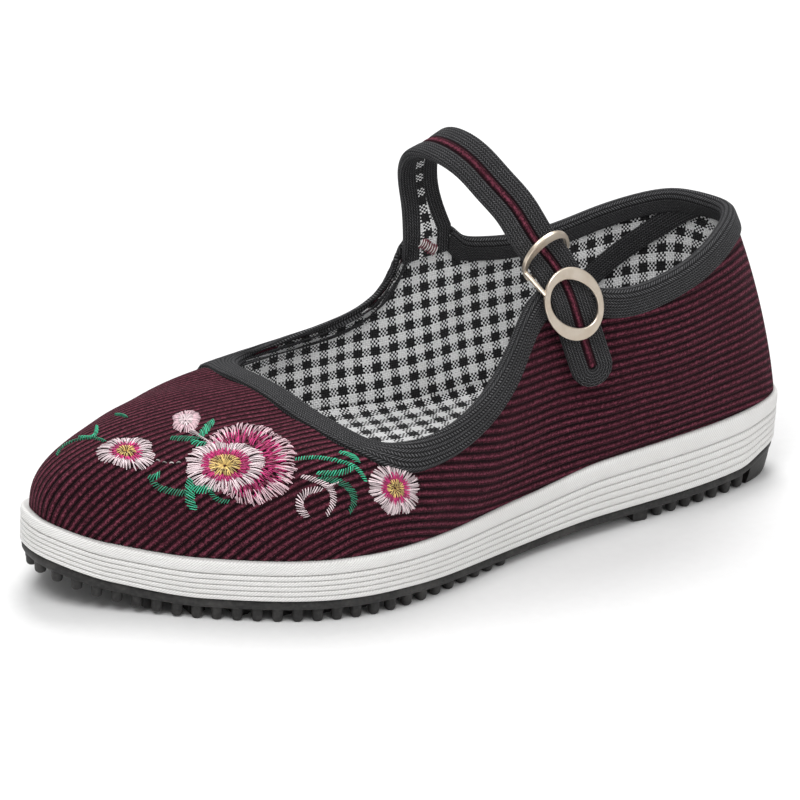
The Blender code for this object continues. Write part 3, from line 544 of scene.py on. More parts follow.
def unroll(points, field, rounds, start=None):
    """Flat cloth coordinate of a sheet: its gradient follows the field, by least squares."""
    di = points[1:] - points[:-1]
    dj = points[:, 1:] - points[:, :-1]
    li = np.linalg.norm(di, axis=2) + 1e-9
    lj = np.linalg.norm(dj, axis=2) + 1e-9
    want_i = ((field[1:] + field[:-1]) / 2 * di).sum(2)
    want_j = ((field[:, 1:] + field[:, :-1]) / 2 * dj).sum(2)
    wi = lj[:-1].mean() / li
    wj = li.mean() / lj

    def spread(gi, gj):
        out = np.zeros(points.shape[:2])
        out[1:] += wi * gi
        out[:-1] -= wi * gi
        out[:, 1:] += wj * gj
        out[:, :-1] -= wj * gj
        return out

    flat = np.zeros(points.shape[:2]) if start is None else start.copy()
    rest = spread(want_i - np.diff(flat, axis=0), want_j - np.diff(flat, axis=1))
    step = rest.copy()
    size = (rest * rest).sum()
    for _ in range(rounds):
        pushed = spread(np.diff(step, axis=0), np.diff(step, axis=1))
        gain = size / (step * pushed).sum()
        flat += gain * step
        rest -= gain * pushed
        fresh = (rest * rest).sum()
        if fresh < 1e-16:
            break
        step = rest + fresh / size * step
        size = fresh
    return flat


def resample(values, rows, columns):
    """Bilinear enlargement of a grid of values."""
    a = np.linspace(0, values.shape[0] - 1, rows)
    b = np.linspace(0, values.shape[1] - 1, columns)
    i = np.minimum(a.astype(int), values.shape[0] - 2)
    j = np.minimum(b.astype(int), values.shape[1] - 2)
    s = (a - i)[:, None]
    t = (b - j)[None, :]
    top = values[i][:, j] * (1 - t) + values[i][:, j + 1] * t
    low = values[i + 1][:, j] * (1 - t) + values[i + 1][:, j + 1] * t
    return top * (1 - s) + low * s


def smooth_step(low, high, value):
    """0 below low, 1 above high, and an even rise between them."""
    t = np.clip((value - low) / (high - low), 0, 1)
    return t * t * (3 - 2 * t)


def upper_grid(columns, rows):
    """Points and directions of the upper's outer face, from the heel seam round and back to it."""
    us = HEEL_U + np.arange(columns + 1) / columns
    shares = np.linspace(0, 1, rows)
    u = np.repeat(us[:, None], rows, 1)
    down = shares[None, :] * column_length(us)[:, None]
    points = skin(u, down)
    normals = skin_normal(u, np.minimum(down, column_length(u) - 0.0008))
    return points, normals


COARSE_ROUNDS = 1200
FINE_ROUNDS = 160


def thread_fields(points, normals, slope, bend_over_toe, crowding=0.0):
    """Direction of the cloth's length and of its width at each point of a sheet."""
    forward = np.array([1.0, 0.0, slope])
    level = unit(forward - normals * (normals @ forward)[..., None])
    over = np.stack([normals[..., 2], np.zeros(normals.shape[:-1]), -normals[..., 0]], -1)
    over = over + level * 0.5 * normals[..., 1:2] ** 2
    share = smooth_step(0.090, 0.170, points[..., 0])[..., None] * bend_over_toe
    along = level * (1 - share) + unit(over) * share
    along = unit(along - normals * (along * normals).sum(-1, keepdims=True))
    tight = 1 + crowding * smooth_step(0.180, 0.236, points[..., 0])[..., None]
    return along, np.cross(normals, along) * tight


def cloth_coordinates(columns, rows, slope, bend_over_toe, crowding=0.0):
    """Length and width coordinates of the cloth over the upper, in millimetres, and its grid."""
    coarse = upper_grid(columns // 4, rows // 2)
    along, across = thread_fields(*coarse, slope, bend_over_toe, crowding)
    fine = upper_grid(columns, rows)
    fields = thread_fields(*fine, slope, bend_over_toe, crowding)
    result = []
    for rough, field in ((along, fields[0]), (across, fields[1])):
        start = unroll(coarse[0], rough, COARSE_ROUNDS)
        start = resample(start, columns + 1, rows)
        result.append(unroll(fine[0], field, FINE_ROUNDS, start) * 1000)
    middle = columns // 2
    return np.stack([result[0] - result[0][middle, 0], result[1] - result[1][middle, 0]], -1), fine


# Materials. Repeats of their patterns in millimetres, on the cloth map; the gingham's yarns are
# fewer than the real one's, so that they show.

WALE_PITCH = 2.38
CHECK_REPEAT = 5.5
CHECK_THREADS = (10, 8)
KNIT_COLUMN = 0.85
KNIT_ROW = 0.90
TWILL_PITCH = 0.95
SOCK_WEAVE = 0.6


def linear(code):
    """sRGB hex colour as linear RGBA."""
    parts = [int(code[k:k + 2], 16) / 255 for k in (1, 3, 5)]
    return tuple(c / 12.92 if c <= 0.04045 else ((c + 0.055) / 1.055) ** 2.4 for c in parts) + (1.0,)


def add(tree, kind, inputs=None, out=0, **settings):
    """Adds a node, sets its fields, fills or links its inputs, and returns one of its outputs."""
    made = tree.nodes.new(kind)
    for field, value in settings.items():
        setattr(made, field, value)
    for spot, value in (inputs or {}).items():
        if isinstance(value, bpy.types.NodeSocket):
            tree.links.new(value, made.inputs[spot])
        else:
            made.inputs[spot].default_value = value
    return made.outputs[out] if made.outputs else made


def noise(t, place, scale, detail, roughness, out=0):
    """Noise texture: its value, or its colour from output 1."""
    return add(t, "ShaderNodeTexNoise",
               {"Vector": place, "Scale": scale, "Detail": detail, "Roughness": roughness}, out=out)


def calc(t, operation, *values):
    """Result of one operation on numbers or outputs."""
    return add(t, "ShaderNodeMath", dict(enumerate(values)), operation=operation)


def ramp(t, value, low, high, start=0.0, end=1.0, soft=False):
    """Value mapped from low..high to start..end and held there, with eased ends if soft."""
    return add(t, "ShaderNodeMapRange", {0: value, 1: low, 2: high, 3: start, 4: end},
               interpolation_type="SMOOTHSTEP" if soft else "LINEAR")


def blend(t, share, first, second):
    """Mix of two colours, each an output or an sRGB hex code."""
    first, second = [linear(one) if isinstance(one, str) else one for one in (first, second)]
    return add(t, "ShaderNodeMix", {0: share, 6: first, 7: second}, out=2, data_type="RGBA")


def surface(t, height, depth, fields):
    """Ends a tree: a shader with these fields, bumped to a depth in metres by a height."""
    normal = add(t, "ShaderNodeBump", {"Height": height, "Distance": depth, "Strength": 1.0})
    shader = add(t, "ShaderNodeBsdfPrincipled", {"Normal": normal, **fields})
    add(t, "ShaderNodeOutputMaterial", {"Surface": shader})


def new_material(name):
    """An empty node material and its tree."""
    material = bpy.data.materials.new(name)
    material.use_nodes = True
    material.node_tree.nodes.clear()
    return material, material.node_tree


def corduroy_material():
    """Cotton corduroy with a cut pile, dyed burgundy: rounded wales with painted highlights on their
    crests, painted shade in the almost black furrows between them, and short fibres that break up every edge."""
    material, t = new_material("cotton_corduroy")
    cloth = add(t, "ShaderNodeUVMap", uv_map="cloth")
    place = add(t, "ShaderNodeTexCoord", out="Object")
    # The wave texture repeats every 0.1 pi at scale 1; the cloth map is in millimetres
    wales = add(t, "ShaderNodeTexWave",
                {"Vector": cloth, "Scale": 0.1 * pi / WALE_PITCH, "Distortion": 0.8, "Detail": 3.0,
                 "Detail Scale": 9.0, "Detail Roughness": 0.7},
                out=1, wave_type="BANDS", bands_direction="Y", wave_profile="SIN")
    tufts = noise(t, cloth, 1.2, 4.0, 0.75)
    fibre = noise(t, place, 1900.0, 3.0, 0.75)
    worn = noise(t, place, 55.0, 3.0, 0.6)
    ridge = ramp(t, wales, 0.06, 0.42, soft=True)
    crest = ramp(t, wales, 0.66, 0.98, soft=True)
    uneven = ramp(t, tufts, 0.32, 0.68, 0.25, 1.0)
    pile = calc(t, "MULTIPLY", ridge, uneven)
    # Near black where the pile is low: painted shade in the furrows between the wales
    body = blend(t, pile, "#0d0508", "#421824")
    # Painted highlights on fibre tips over the pile
    painted_highlight = ramp(t, fibre, 0.46, 0.70, soft=True)
    painted_highlight = calc(t, "MULTIPLY", painted_highlight, pile)
    body = blend(t, painted_highlight, body, "#8c4a58")
    # Painted highlight along the wales' crests
    painted_highlight = calc(t, "MULTIPLY", crest, uneven)
    painted_highlight = calc(t, "MULTIPLY", painted_highlight, 0.70)
    body = blend(t, painted_highlight, body, "#9a4d62")
    speck = noise(t, place, 1150.0, 4.0, 0.85)
    speck = ramp(t, speck, 0.40, 0.58, 0.75, 0.0, soft=True)
    body = blend(t, speck, body, "#12060a")
    faded = ramp(t, worn, 0.38, 0.75, 0.0, 0.35)
    body = blend(t, faded, body, "#33131c")
    height = calc(t, "MULTIPLY_ADD", tufts, 0.35, ridge)
    height = calc(t, "MULTIPLY_ADD", fibre, 0.30, height)
    surface(t, height, 0.00075, {"Base Color": body, "Roughness": 0.95, "Specular IOR Level": 0.1,
                                 "Sheen Weight": 0.16, "Sheen Roughness": 0.4,
                                 "Sheen Tint": linear("#c07a8c")})
    return material


def gingham_material():
    """Cotton gingham in plain weave: black and white yarns of which every one shows, so that the
    half-tone checks are a fine net of both."""
    material, t = new_material("cotton_gingham")
    cloth = add(t, "ShaderNodeUVMap", uv_map="cloth")
    place = add(t, "ShaderNodeTexCoord", out="Object")
    sway = noise(t, cloth, 0.12, 2.0, 0.5, out=1)
    sway = add(t, "ShaderNodeVectorMath", {0: sway, 1: (0.5, 0.5, 0.5)}, operation="SUBTRACT")
    cloth = add(t, "ShaderNodeVectorMath", {0: sway, 1: (1.4, 1.4, 0.0), 2: cloth}, operation="MULTIPLY_ADD")
    checks = add(t, "ShaderNodeVectorMath", {0: cloth, 1: (1 / CHECK_REPEAT, 1 / CHECK_REPEAT, 0.0)},
                 operation="MULTIPLY")
    checks = add(t, "ShaderNodeVectorMath", {0: checks}, operation="FRACTION")
    yarns = add(t, "ShaderNodeVectorMath",
                {0: cloth, 1: (CHECK_THREADS[0] / CHECK_REPEAT, CHECK_THREADS[1] / CHECK_REPEAT, 0.0)},
                operation="MULTIPLY")
    over = add(t, "ShaderNodeTexChecker",
               {"Vector": yarns, "Scale": 1.0, "Color1": linear("#ffffff"), "Color2": linear("#000000")},
               out=1)
    inside = add(t, "ShaderNodeVectorMath", {0: yarns}, operation="FRACTION")
    inside = add(t, "ShaderNodeVectorMath", {0: inside, 1: (pi, pi, 0.0)}, operation="MULTIPLY")
    inside = add(t, "ShaderNodeVectorMath", {0: inside}, operation="SINE")
    x = add(t, "ShaderNodeSeparateXYZ", {0: checks})
    y = add(t, "ShaderNodeSeparateXYZ", {0: checks}, out=1)
    warp = calc(t, "LESS_THAN", x, 0.5)
    weft = calc(t, "LESS_THAN", y, 0.5)
    dark = add(t, "ShaderNodeMix", {0: over, 2: warp, 3: weft}, data_type="FLOAT")
    warp_round = add(t, "ShaderNodeSeparateXYZ", {0: inside})
    weft_round = add(t, "ShaderNodeSeparateXYZ", {0: inside}, out=1)
    yarn = add(t, "ShaderNodeMix", {0: over, 2: warp_round, 3: weft_round}, data_type="FLOAT")
    fuzz = noise(t, place, 2600.0, 2.0, 0.6)
    pale = blend(t, fuzz, "#f4f4f5", "#ffffff")
    deep = blend(t, fuzz, "#050506", "#1d1d1f")
    body = blend(t, dark, pale, deep)
    # Grey between the round yarns: painted shade in the weave's hollows
    gap = ramp(t, yarn, 0.0, 0.50, 0.40, 0.0, soft=True)
    body = blend(t, gap, body, "#5a5a5e")
    height = calc(t, "MULTIPLY_ADD", fuzz, 0.25, yarn)
    surface(t, height, 0.00020, {"Base Color": body, "Roughness": 0.88, "Specular IOR Level": 0.2,
                                 "Sheen Weight": 0.12, "Sheen Roughness": 0.5})
    return material


def knit_material():
    """Polyester knit binding, charcoal: close columns of slanted loops along the tape, with painted
    shade in the dark holes between them and painted highlights on their fuzz."""
    material, t = new_material("polyester_knit_tape")
    cloth = add(t, "ShaderNodeUVMap", uv_map="cloth")
    place = add(t, "ShaderNodeTexCoord", out="Object")
    columns = add(t, "ShaderNodeTexWave",
                  {"Vector": cloth, "Scale": 0.1 * pi / KNIT_COLUMN, "Distortion": 0.5, "Detail": 2.0,
                   "Detail Scale": 1.5},
                  out=1, wave_type="BANDS", bands_direction="Y", wave_profile="SIN")
    # Loops lean one way in one column and the other way in the next, as a chain stitch does
    zigzag = add(t, "ShaderNodeTexWave",
                 {"Vector": cloth, "Scale": 0.05 * pi / KNIT_COLUMN},
                 out=1, wave_type="BANDS", bands_direction="Y", wave_profile="TRI")
    x = add(t, "ShaderNodeSeparateXYZ", {0: cloth})
    slanted = calc(t, "MULTIPLY_ADD", zigzag, KNIT_ROW * 1.5, x)
    slanted = add(t, "ShaderNodeCombineXYZ", {"X": slanted})
    rows = add(t, "ShaderNodeTexWave",
               {"Vector": slanted, "Scale": 0.1 * pi / KNIT_ROW},
               out=1, wave_type="BANDS", bands_direction="X", wave_profile="SIN")
    fuzz = noise(t, place, 2400.0, 3.0, 0.7)
    patch = noise(t, place, 130.0, 3.0, 0.6)
    columns = ramp(t, columns, 0.08, 0.60, 0.15, 1.0, soft=True)
    rows = ramp(t, rows, 0.20, 0.80, 0.03, 1.0, soft=True)
    loop = calc(t, "MULTIPLY", columns, rows)
    # Near black between the loops: painted shade in the knit's holes
    body = blend(t, loop, "#050506", "#515153")
    # Painted highlights on the fuzz of the loops
    painted_highlight = ramp(t, fuzz, 0.50, 0.72, 0.0, 0.75)
    painted_highlight = calc(t, "MULTIPLY", painted_highlight, loop)
    body = blend(t, painted_highlight, body, "#8e8e90")
    dull = ramp(t, patch, 0.35, 0.8, 0.0, 0.3)
    body = blend(t, dull, body, "#1c1c1e")
    height = calc(t, "MULTIPLY_ADD", fuzz, 0.3, loop)
    surface(t, height, 0.00030, {"Base Color": body, "Roughness": 0.85, "Specular IOR Level": 0.22,
                                 "Sheen Weight": 0.12, "Sheen Roughness": 0.45,
                                 "Sheen Tint": linear("#9a9aa0")})
    return material


def foxing_material():
    """White vulcanised rubber band that was pressed against twill: fine slanted lines, and a little
    painted grey shade in its grooves."""
    material, t = new_material("white_foxing_rubber")
    cloth = add(t, "ShaderNodeUVMap", uv_map="cloth")
    place = add(t, "ShaderNodeTexCoord", out="Object")
    slanted = add(t, "ShaderNodeVectorMath", {0: cloth, 1: (1.0, -0.85, 0.0)}, out=1, operation="DOT_PRODUCT")
    slanted = add(t, "ShaderNodeCombineXYZ", {"X": slanted})
    twill = add(t, "ShaderNodeTexWave", {"Vector": slanted, "Scale": 0.1 * pi / TWILL_PITCH},
                out=1, wave_type="BANDS", bands_direction="X", wave_profile="SIN")
    line = ramp(t, twill, 0.10, 0.60, soft=True)
    grain = noise(t, place, 1500.0, 3.0, 0.6)
    cloud = noise(t, place, 70.0, 4.0, 0.65)
    groove = add(t, "ShaderNodeAttribute", out="Fac", attribute_name="groove")
    body = blend(t, line, "#dddcda", "#f1f0ee")
    soil = ramp(t, cloud, 0.42, 0.75, 0.0, 0.25)
    body = blend(t, soil, body, "#d6d4d0")
    # Painted grey shade in the grooves between the ribs
    body = blend(t, groove, body, "#d0cfcd")
    height = calc(t, "MULTIPLY_ADD", grain, 0.4, line)
    rough = ramp(t, grain, 0.2, 0.8, 0.55, 0.75)
    surface(t, height, 0.00010, {"Base Color": body, "Roughness": rough, "Specular IOR Level": 0.3})
    return material


def rubber_material():
    """Black moulded outsole rubber: matt, finely pebbled by its mould, grey dust in patches."""
    material, t = new_material("moulded_black_rubber")
    place = add(t, "ShaderNodeTexCoord", out="Object")
    pebble = noise(t, place, 900.0, 3.0, 0.55)
    dust = noise(t, place, 70.0, 4.0, 0.6)
    grade = ramp(t, pebble, 0.35, 0.75, soft=True)
    body = blend(t, grade, "#1f1e1e", "#373635")
    worn = ramp(t, dust, 0.5, 0.85, 0.0, 0.4)
    body = blend(t, worn, body, "#6a6764")
    rough = ramp(t, pebble, 0.2, 0.8, 0.5, 0.72)
    surface(t, pebble, 0.00012, {"Base Color": body, "Roughness": rough, "Specular IOR Level": 0.4})
    return material


def sock_material():
    """Brushed white cotton of the sock: a plain weave under a soft nap."""
    material, t = new_material("brushed_white_cotton")
    place = add(t, "ShaderNodeTexCoord", out="Object")
    turns = 2000 * pi / SOCK_WEAVE
    weave = add(t, "ShaderNodeVectorMath", {0: place, 1: (turns, turns, 0.0)}, operation="MULTIPLY")
    weave = add(t, "ShaderNodeVectorMath", {0: weave}, operation="SINE")
    x = add(t, "ShaderNodeSeparateXYZ", {0: weave})
    y = add(t, "ShaderNodeSeparateXYZ", {0: weave}, out=1)
    weave = calc(t, "MULTIPLY", x, y)
    nap = noise(t, place, 1200.0, 3.0, 0.65)
    body = blend(t, nap, "#dadad9", "#f6f6f5")
    height = calc(t, "MULTIPLY_ADD", weave, 0.25, nap)
    surface(t, height, 0.00012, {"Base Color": body, "Roughness": 0.9, "Sheen Weight": 0.2,
                                 "Sheen Roughness": 0.5})
    return material


def metal_material():
    """Zinc alloy with a pale gold satin plating: a fine brushed grain, duller in patches."""
    material, t = new_material("satin_plated_metal")
    place = add(t, "ShaderNodeTexCoord", out="Object")
    grain = noise(t, place, 1800.0, 3.0, 0.6)
    wear = noise(t, place, 240.0, 3.0, 0.6)
    body = blend(t, wear, "#cdbba4", "#efe5d8")
    rough = ramp(t, grain, 0.2, 0.8, 0.28, 0.44)
    surface(t, grain, 0.00003, {"Base Color": body, "Metallic": 1.0, "Roughness": rough})
    return material


def thread_material():
    """Rayon embroidery thread: a soft gloss, its colour carried by each stitch."""
    material, t = new_material("rayon_thread")
    shade = add(t, "ShaderNodeAttribute", out="Color", attribute_name="shade")
    place = add(t, "ShaderNodeTexCoord", out="Object")
    fibre = noise(t, place, 3600.0, 2.0, 0.6)
    # Dark streaks by the fibre noise: painted shade between the thread's fibres
    gap = ramp(t, fibre, 0.3, 0.6, 0.25, 0.0)
    body = blend(t, gap, shade, "#2a0e16")
    surface(t, fibre, 0.00006, {"Base Color": body, "Roughness": 0.45, "Specular IOR Level": 0.45,
                                "Sheen Weight": 0.15, "Sheen Roughness": 0.3})
    return material


def floor_material():
    """Matt white studio board with a hardly visible grain."""
    material, t = new_material("studio_board")
    place = add(t, "ShaderNodeTexCoord", out="Object")
    grain = noise(t, place, 300.0, 3.0, 0.6)
    body = blend(t, grain, "#e6e6e6", "#ececec")
    shader = add(t, "ShaderNodeBsdfPrincipled",
                 {"Base Color": body, "Roughness": 0.9, "Specular IOR Level": 0.1})
    add(t, "ShaderNodeOutputMaterial", {"Surface": shader})
    return material


corduroy = corduroy_material()
gingham = gingham_material()
knit = knit_material()
foxing = foxing_material()
rubber = rubber_material()
sock = sock_material()
metal = metal_material()
thread = thread_material()


def dress(piece, material, slot, *nodes):
    """Gives a finished piece its material, body and the solids it stands for; its record slot is not used."""
    piece.data.materials.clear()
    piece.data.materials.append(material)
    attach(piece, "root")
    if nodes:
        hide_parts(*nodes)
    return piece


def grow(source, tree, values):
    """Runs a Geometry Nodes tree on a piece, once, and leaves the result as its plain mesh."""
    modifier = source.modifiers.new("pattern", "NODES")
    modifier.node_group = tree
    for socket in tree.interface.items_tree:
        if socket.name in values:
            modifier[socket.identifier] = values[socket.name]
    bpy.context.view_layer.update()
    made = bpy.data.meshes.new_from_object(source.evaluated_get(bpy.context.evaluated_depsgraph_get()))
    source.modifiers.remove(modifier)
    made.name = source.name
    source.data = made
    return source


def pattern_tree(name, *sockets):
    """An empty Geometry Nodes tree with named inputs; returns it and its input node."""
    tree = bpy.data.node_groups.new(name, "GeometryNodeTree")
    tree.interface.new_socket("Geometry", in_out="OUTPUT", socket_type="NodeSocketGeometry")
    tree.interface.new_socket("Geometry", in_out="INPUT", socket_type="NodeSocketGeometry")
    for title, kind in sockets:
        tree.interface.new_socket(title, in_out="INPUT", socket_type="NodeSocket" + kind)
    return tree, tree.nodes.new("NodeGroupInput").outputs


def stitch_tree():
    """Thread: every line of the mesh becomes a round yarn, closed at both ends."""
    tree, given = pattern_tree("stitches", ("Thread Width", "Float"), ("Thread Sides", "Int"),
                               ("Thread", "Material"))
    radius = add(tree, "ShaderNodeMath", {0: given["Thread Width"], 1: 0.5}, operation="MULTIPLY")
    line = add(tree, "GeometryNodeMeshToCurve", {"Mesh": given["Geometry"]})
    section = add(tree, "GeometryNodeCurvePrimitiveCircle",
                  {"Resolution": given["Thread Sides"], "Radius": radius}, mode="RADIUS")
    yarn = add(tree, "GeometryNodeCurveToMesh",
               {"Curve": line, "Profile Curve": section, "Fill Caps": True})
    yarn = add(tree, "GeometryNodeSetShadeSmooth", {"Geometry": yarn})
    yarn = add(tree, "GeometryNodeRealizeInstances", {"Geometry": yarn})
    yarn = add(tree, "GeometryNodeSetMaterial", {"Geometry": yarn, "Material": given["Thread"]})
    add(tree, "NodeGroupOutput", {"Geometry": yarn})
    return tree


def stud_tree():
    """Studs: the model stud stands on every point, turned and stretched as the point says."""
    tree, given = pattern_tree("studs", ("Stud", "Object"), ("Stud Width", "Float"), ("Rubber", "Material"))
    stud = add(tree, "GeometryNodeObjectInfo", {"Object": given["Stud"]}, out="Geometry")
    turn = add(tree, "GeometryNodeInputNamedAttribute", {"Name": "turn"}, data_type="FLOAT_VECTOR")
    size = add(tree, "GeometryNodeInputNamedAttribute", {"Name": "size"}, data_type="FLOAT_VECTOR")
    size = add(tree, "ShaderNodeVectorMath", {0: size, 3: given["Stud Width"]}, operation="SCALE")
    turn = add(tree, "FunctionNodeEulerToRotation", {"Euler": turn})
    studs = add(tree, "GeometryNodeInstanceOnPoints",
                {"Points": given["Geometry"], "Instance": stud, "Rotation": turn, "Scale": size})
    studs = add(tree, "GeometryNodeRealizeInstances", {"Geometry": studs})
    studs = add(tree, "GeometryNodeSetMaterial", {"Geometry": studs, "Material": given["Rubber"]})
    add(tree, "NodeGroupOutput", {"Geometry": studs})
    return tree


# Upper: corduroy shell and gingham lining

UPPER_COLUMNS = 560
UPPER_ROWS = 72
LINING_COLUMNS = 400
LINING_ROWS = 56
REAR_ROWS = 9
# The corduroy and the lining meet in the wall's middle
WALL_MIDDLE = 0.0011
LINING_FACE = 0.0023
CORDUROY_SLOPE = -0.05
LINING_SLOPE = -0.13
CORDUROY_BEND = 1.0
LINING_BEND = 0.4
TOE_CROWDING = 0.40
SOCK_RISE = 0.0027
HEM_DEPTH = 0.0026
HEM_MEDIAL = 2.7
# Hem section: inset from the wall and height over the sock, in metres
HEM_SECTION = (
    (-0.0001, 0.0036), (0.0001, 0.0022), (0.0006, 0.0012), (0.0016, 0.0007), (0.0032, 0.0005),
    (0.0052, 0.0005), (0.0070, 0.0004), (0.0076, 0.0002), (0.0070, 0.0001), (0.0030, 0.0001),
    (0.0010, 0.0003), (-0.0002, 0.0012),
)


def shell(name, front, back, uv, grid):
    """Closed sheet over the upper between two depths under its outer face."""
    points, normals = grid
    face = dented(points, normals) - normals * front
    thin = np.linspace(points.shape[1] - 1, 0, REAR_ROWS).astype(int)
    rear = dented(points[:, thin], normals[:, thin]) - normals[:, thin] * back
    loop = np.concatenate([face, rear], 1)[:-1]
    flat = np.concatenate([uv, uv[:, thin], uv[:, :1]], 1)
    return grid_piece(name, loop, flat, closed_rows=True, sharp=60)


def build_hem(uv, grid):
    """The lining's edge, turned in over the rim of the sock and lying on it."""
    points, normals = grid
    foot = points[:-1, -1] - normals[:-1, -1] * HEM_DEPTH
    inward = unit(-normals[:-1, -1] * np.array([1.0, 1.0, 0.0]))
    sock_top = feather(station_of(foot[:, 0])) + GAP + SOCK_RISE
    # The hem is wider along the inner side of the foot, in front of the heel
    medial = smooth_step(0.3, 0.9, inward[:, 1]) * smooth_step(0.070, 0.120, foot[:, 0])
    wide = 1 + (HEM_MEDIAL - 1) * medial
    sections = []
    walked = []
    for inset, rise in HEM_SECTION:
        spot = foot + inward * inset * wide[:, None]
        spot[:, 2] = sock_top + rise
        sections.append(spot)
        walked.append(inset * wide - rise)
    strip = np.stack(sections, 1)
    step = unit(uv[:-1, -1] - uv[:-1, -3])
    flat = uv[:-1, None, -1] + step[:, None] * (np.stack(walked, 1) * 1000)[:, :, None]
    flat = np.concatenate([flat, flat[:, :1]], 1)
    flat = np.concatenate([flat, flat[-1:] + (flat[-1:] - flat[-2:-1])], 0)
    piece = grid_piece("lining_hem", strip, flat, closed_rows=True, sharp=70)
    dress(piece, gingham, "gingham_lining")


def build_upper():
    """Both layers of the upper and the hem; returns the outer cloth's coordinates and grid, with
    true millimetres over the toe, for the embroidery."""
    uv, grid = cloth_coordinates(UPPER_COLUMNS, UPPER_ROWS, CORDUROY_SLOPE, CORDUROY_BEND)
    wales = cloth_coordinates(UPPER_COLUMNS, UPPER_ROWS, CORDUROY_SLOPE, CORDUROY_BEND, TOE_CROWDING)[0]
    outer = shell("upper_corduroy", 0.0, WALL_MIDDLE, wales, grid)
    dress(outer, corduroy, "corduroy", "upper")
    lining_uv, lining_grid = cloth_coordinates(LINING_COLUMNS, LINING_ROWS, LINING_SLOPE, LINING_BEND)
    lining = shell("upper_lining", LINING_FACE, WALL_MIDDLE, lining_uv, lining_grid)
    dress(lining, gingham, "gingham_lining")
    build_hem(lining_uv, lining_grid)
    return uv, grid


cloth_uv, cloth_grid = build_upper()


# Embroidery: peonies and leaves. Places are millimetres on the cloth, toward the toe from the
# throat and then to the outer side.

PALE_PINK = "#ecc9d2"
ROSE_WHITE = "#f4e0e4"
MAGENTA = "#d0307c"
DEEP_MAGENTA = "#8e1a4c"
GOLD = "#f2d283"
GOLD_SHADE = "#5a3018"
LEAF_GREEN = "#3cc79a"
DARK_GREEN = "#218a68"
THREAD_GREY = "#c9c2c0"
THREAD_WIDTH = 0.00034
THREAD_SIDES = 5
STITCH_ARCH = 0.00032
STITCH_DIP = 0.0002
STITCH_POINTS = 5
STEM_GAP = 0.713
STEM_LIFT = 0.20
RUNNING_LIFT = 0.15
RUNNING_PITCH = 1.9
RUNNING_STITCH = 1.1
# The embroidery lies in front of this x, in metres
EMBROIDERED_FROM = 0.080

# Flowers: centre, rim places, lobes, notch, layers
# Layer: inner and outer share of the rim, colour, lift of the thread in mm, stitch gap in mm
FLOWERS = (
    ((27.0, 30.5), ((27.7, 16.9), (18.8, 15.0), (13.1, 21.4), (12.0, 30.7), (12.8, 36.5), (16.3, 42.0),
                    (21.4, 45.2), (28.7, 44.5), (33.6, 40.1), (36.0, 30.0), (34.0, 22.0)), 7, 0.07,
     ((0.44, 0.62, MAGENTA, 0.00, 0.60), (0.54, 0.72, DEEP_MAGENTA, 0.05, 0.55),
      (0.65, 0.84, MAGENTA, 0.12, 0.46), (0.76, 1.00, PALE_PINK, 0.24, 0.40))),
    ((30.8, 29.5), ((39.2, 22.5), (21.8, 35.8), (26.0, 22.1), (34.7, 35.7), (40.6, 27.6), (20.4, 30.6)),
     8, 0.07,
     ((0.36, 0.66, MAGENTA, 0.46, 0.50), (0.40, 0.64, DEEP_MAGENTA, 0.50, 1.3),
      (0.52, 1.00, ROSE_WHITE, 0.60, 0.42), (0.42, 0.70, MAGENTA, 0.68, 1.1), (0.06, 0.46, GOLD, 0.80, 0.70),
      (0.14, 0.34, GOLD_SHADE, 0.88, 1.1))),
    ((50.7, 10.8), ((57.4, 7.3), (44.6, 16.2), (49.9, 5.3), (54.0, 13.7), (53.2, 4.1), (44.8, 9.2),
                    (47.1, 17.9)), 5, 0.16,
     ((0.26, 0.56, MAGENTA, 0.20, 0.60), (0.42, 1.00, ROSE_WHITE, 0.30, 0.42),
      (0.30, 0.66, MAGENTA, 0.38, 1.1), (0.06, 0.38, GOLD, 0.46, 0.80),
      (0.08, 0.26, GOLD_SHADE, 0.52, 1.3))),
    ((-6.6, 56.3), ((1.0, 53.1), (-14.4, 58.1), (-6.5, 47.8), (-5.7, 64.8), (-11.6, 50.5), (-0.8, 50.9),
                    (-13.4, 62.2), (0.5, 57.4)), 6, 0.14,
     ((0.26, 0.56, MAGENTA, 0.20, 0.60), (0.42, 1.00, ROSE_WHITE, 0.30, 0.42),
      (0.28, 0.68, MAGENTA, 0.38, 1.0), (0.06, 0.40, GOLD, 0.46, 0.85),
      (0.08, 0.28, GOLD_SHADE, 0.52, 1.3))),
    ((31.7, 7.8), ((34.5, 6.2), (28.6, 9.9), (29.0, 2.0), (34.0, 13.0)), 5, 0.05,
     ((0.40, 1.00, PALE_PINK, 0.20, 0.42), (0.10, 0.66, ROSE_WHITE, 0.34, 0.70))),
)
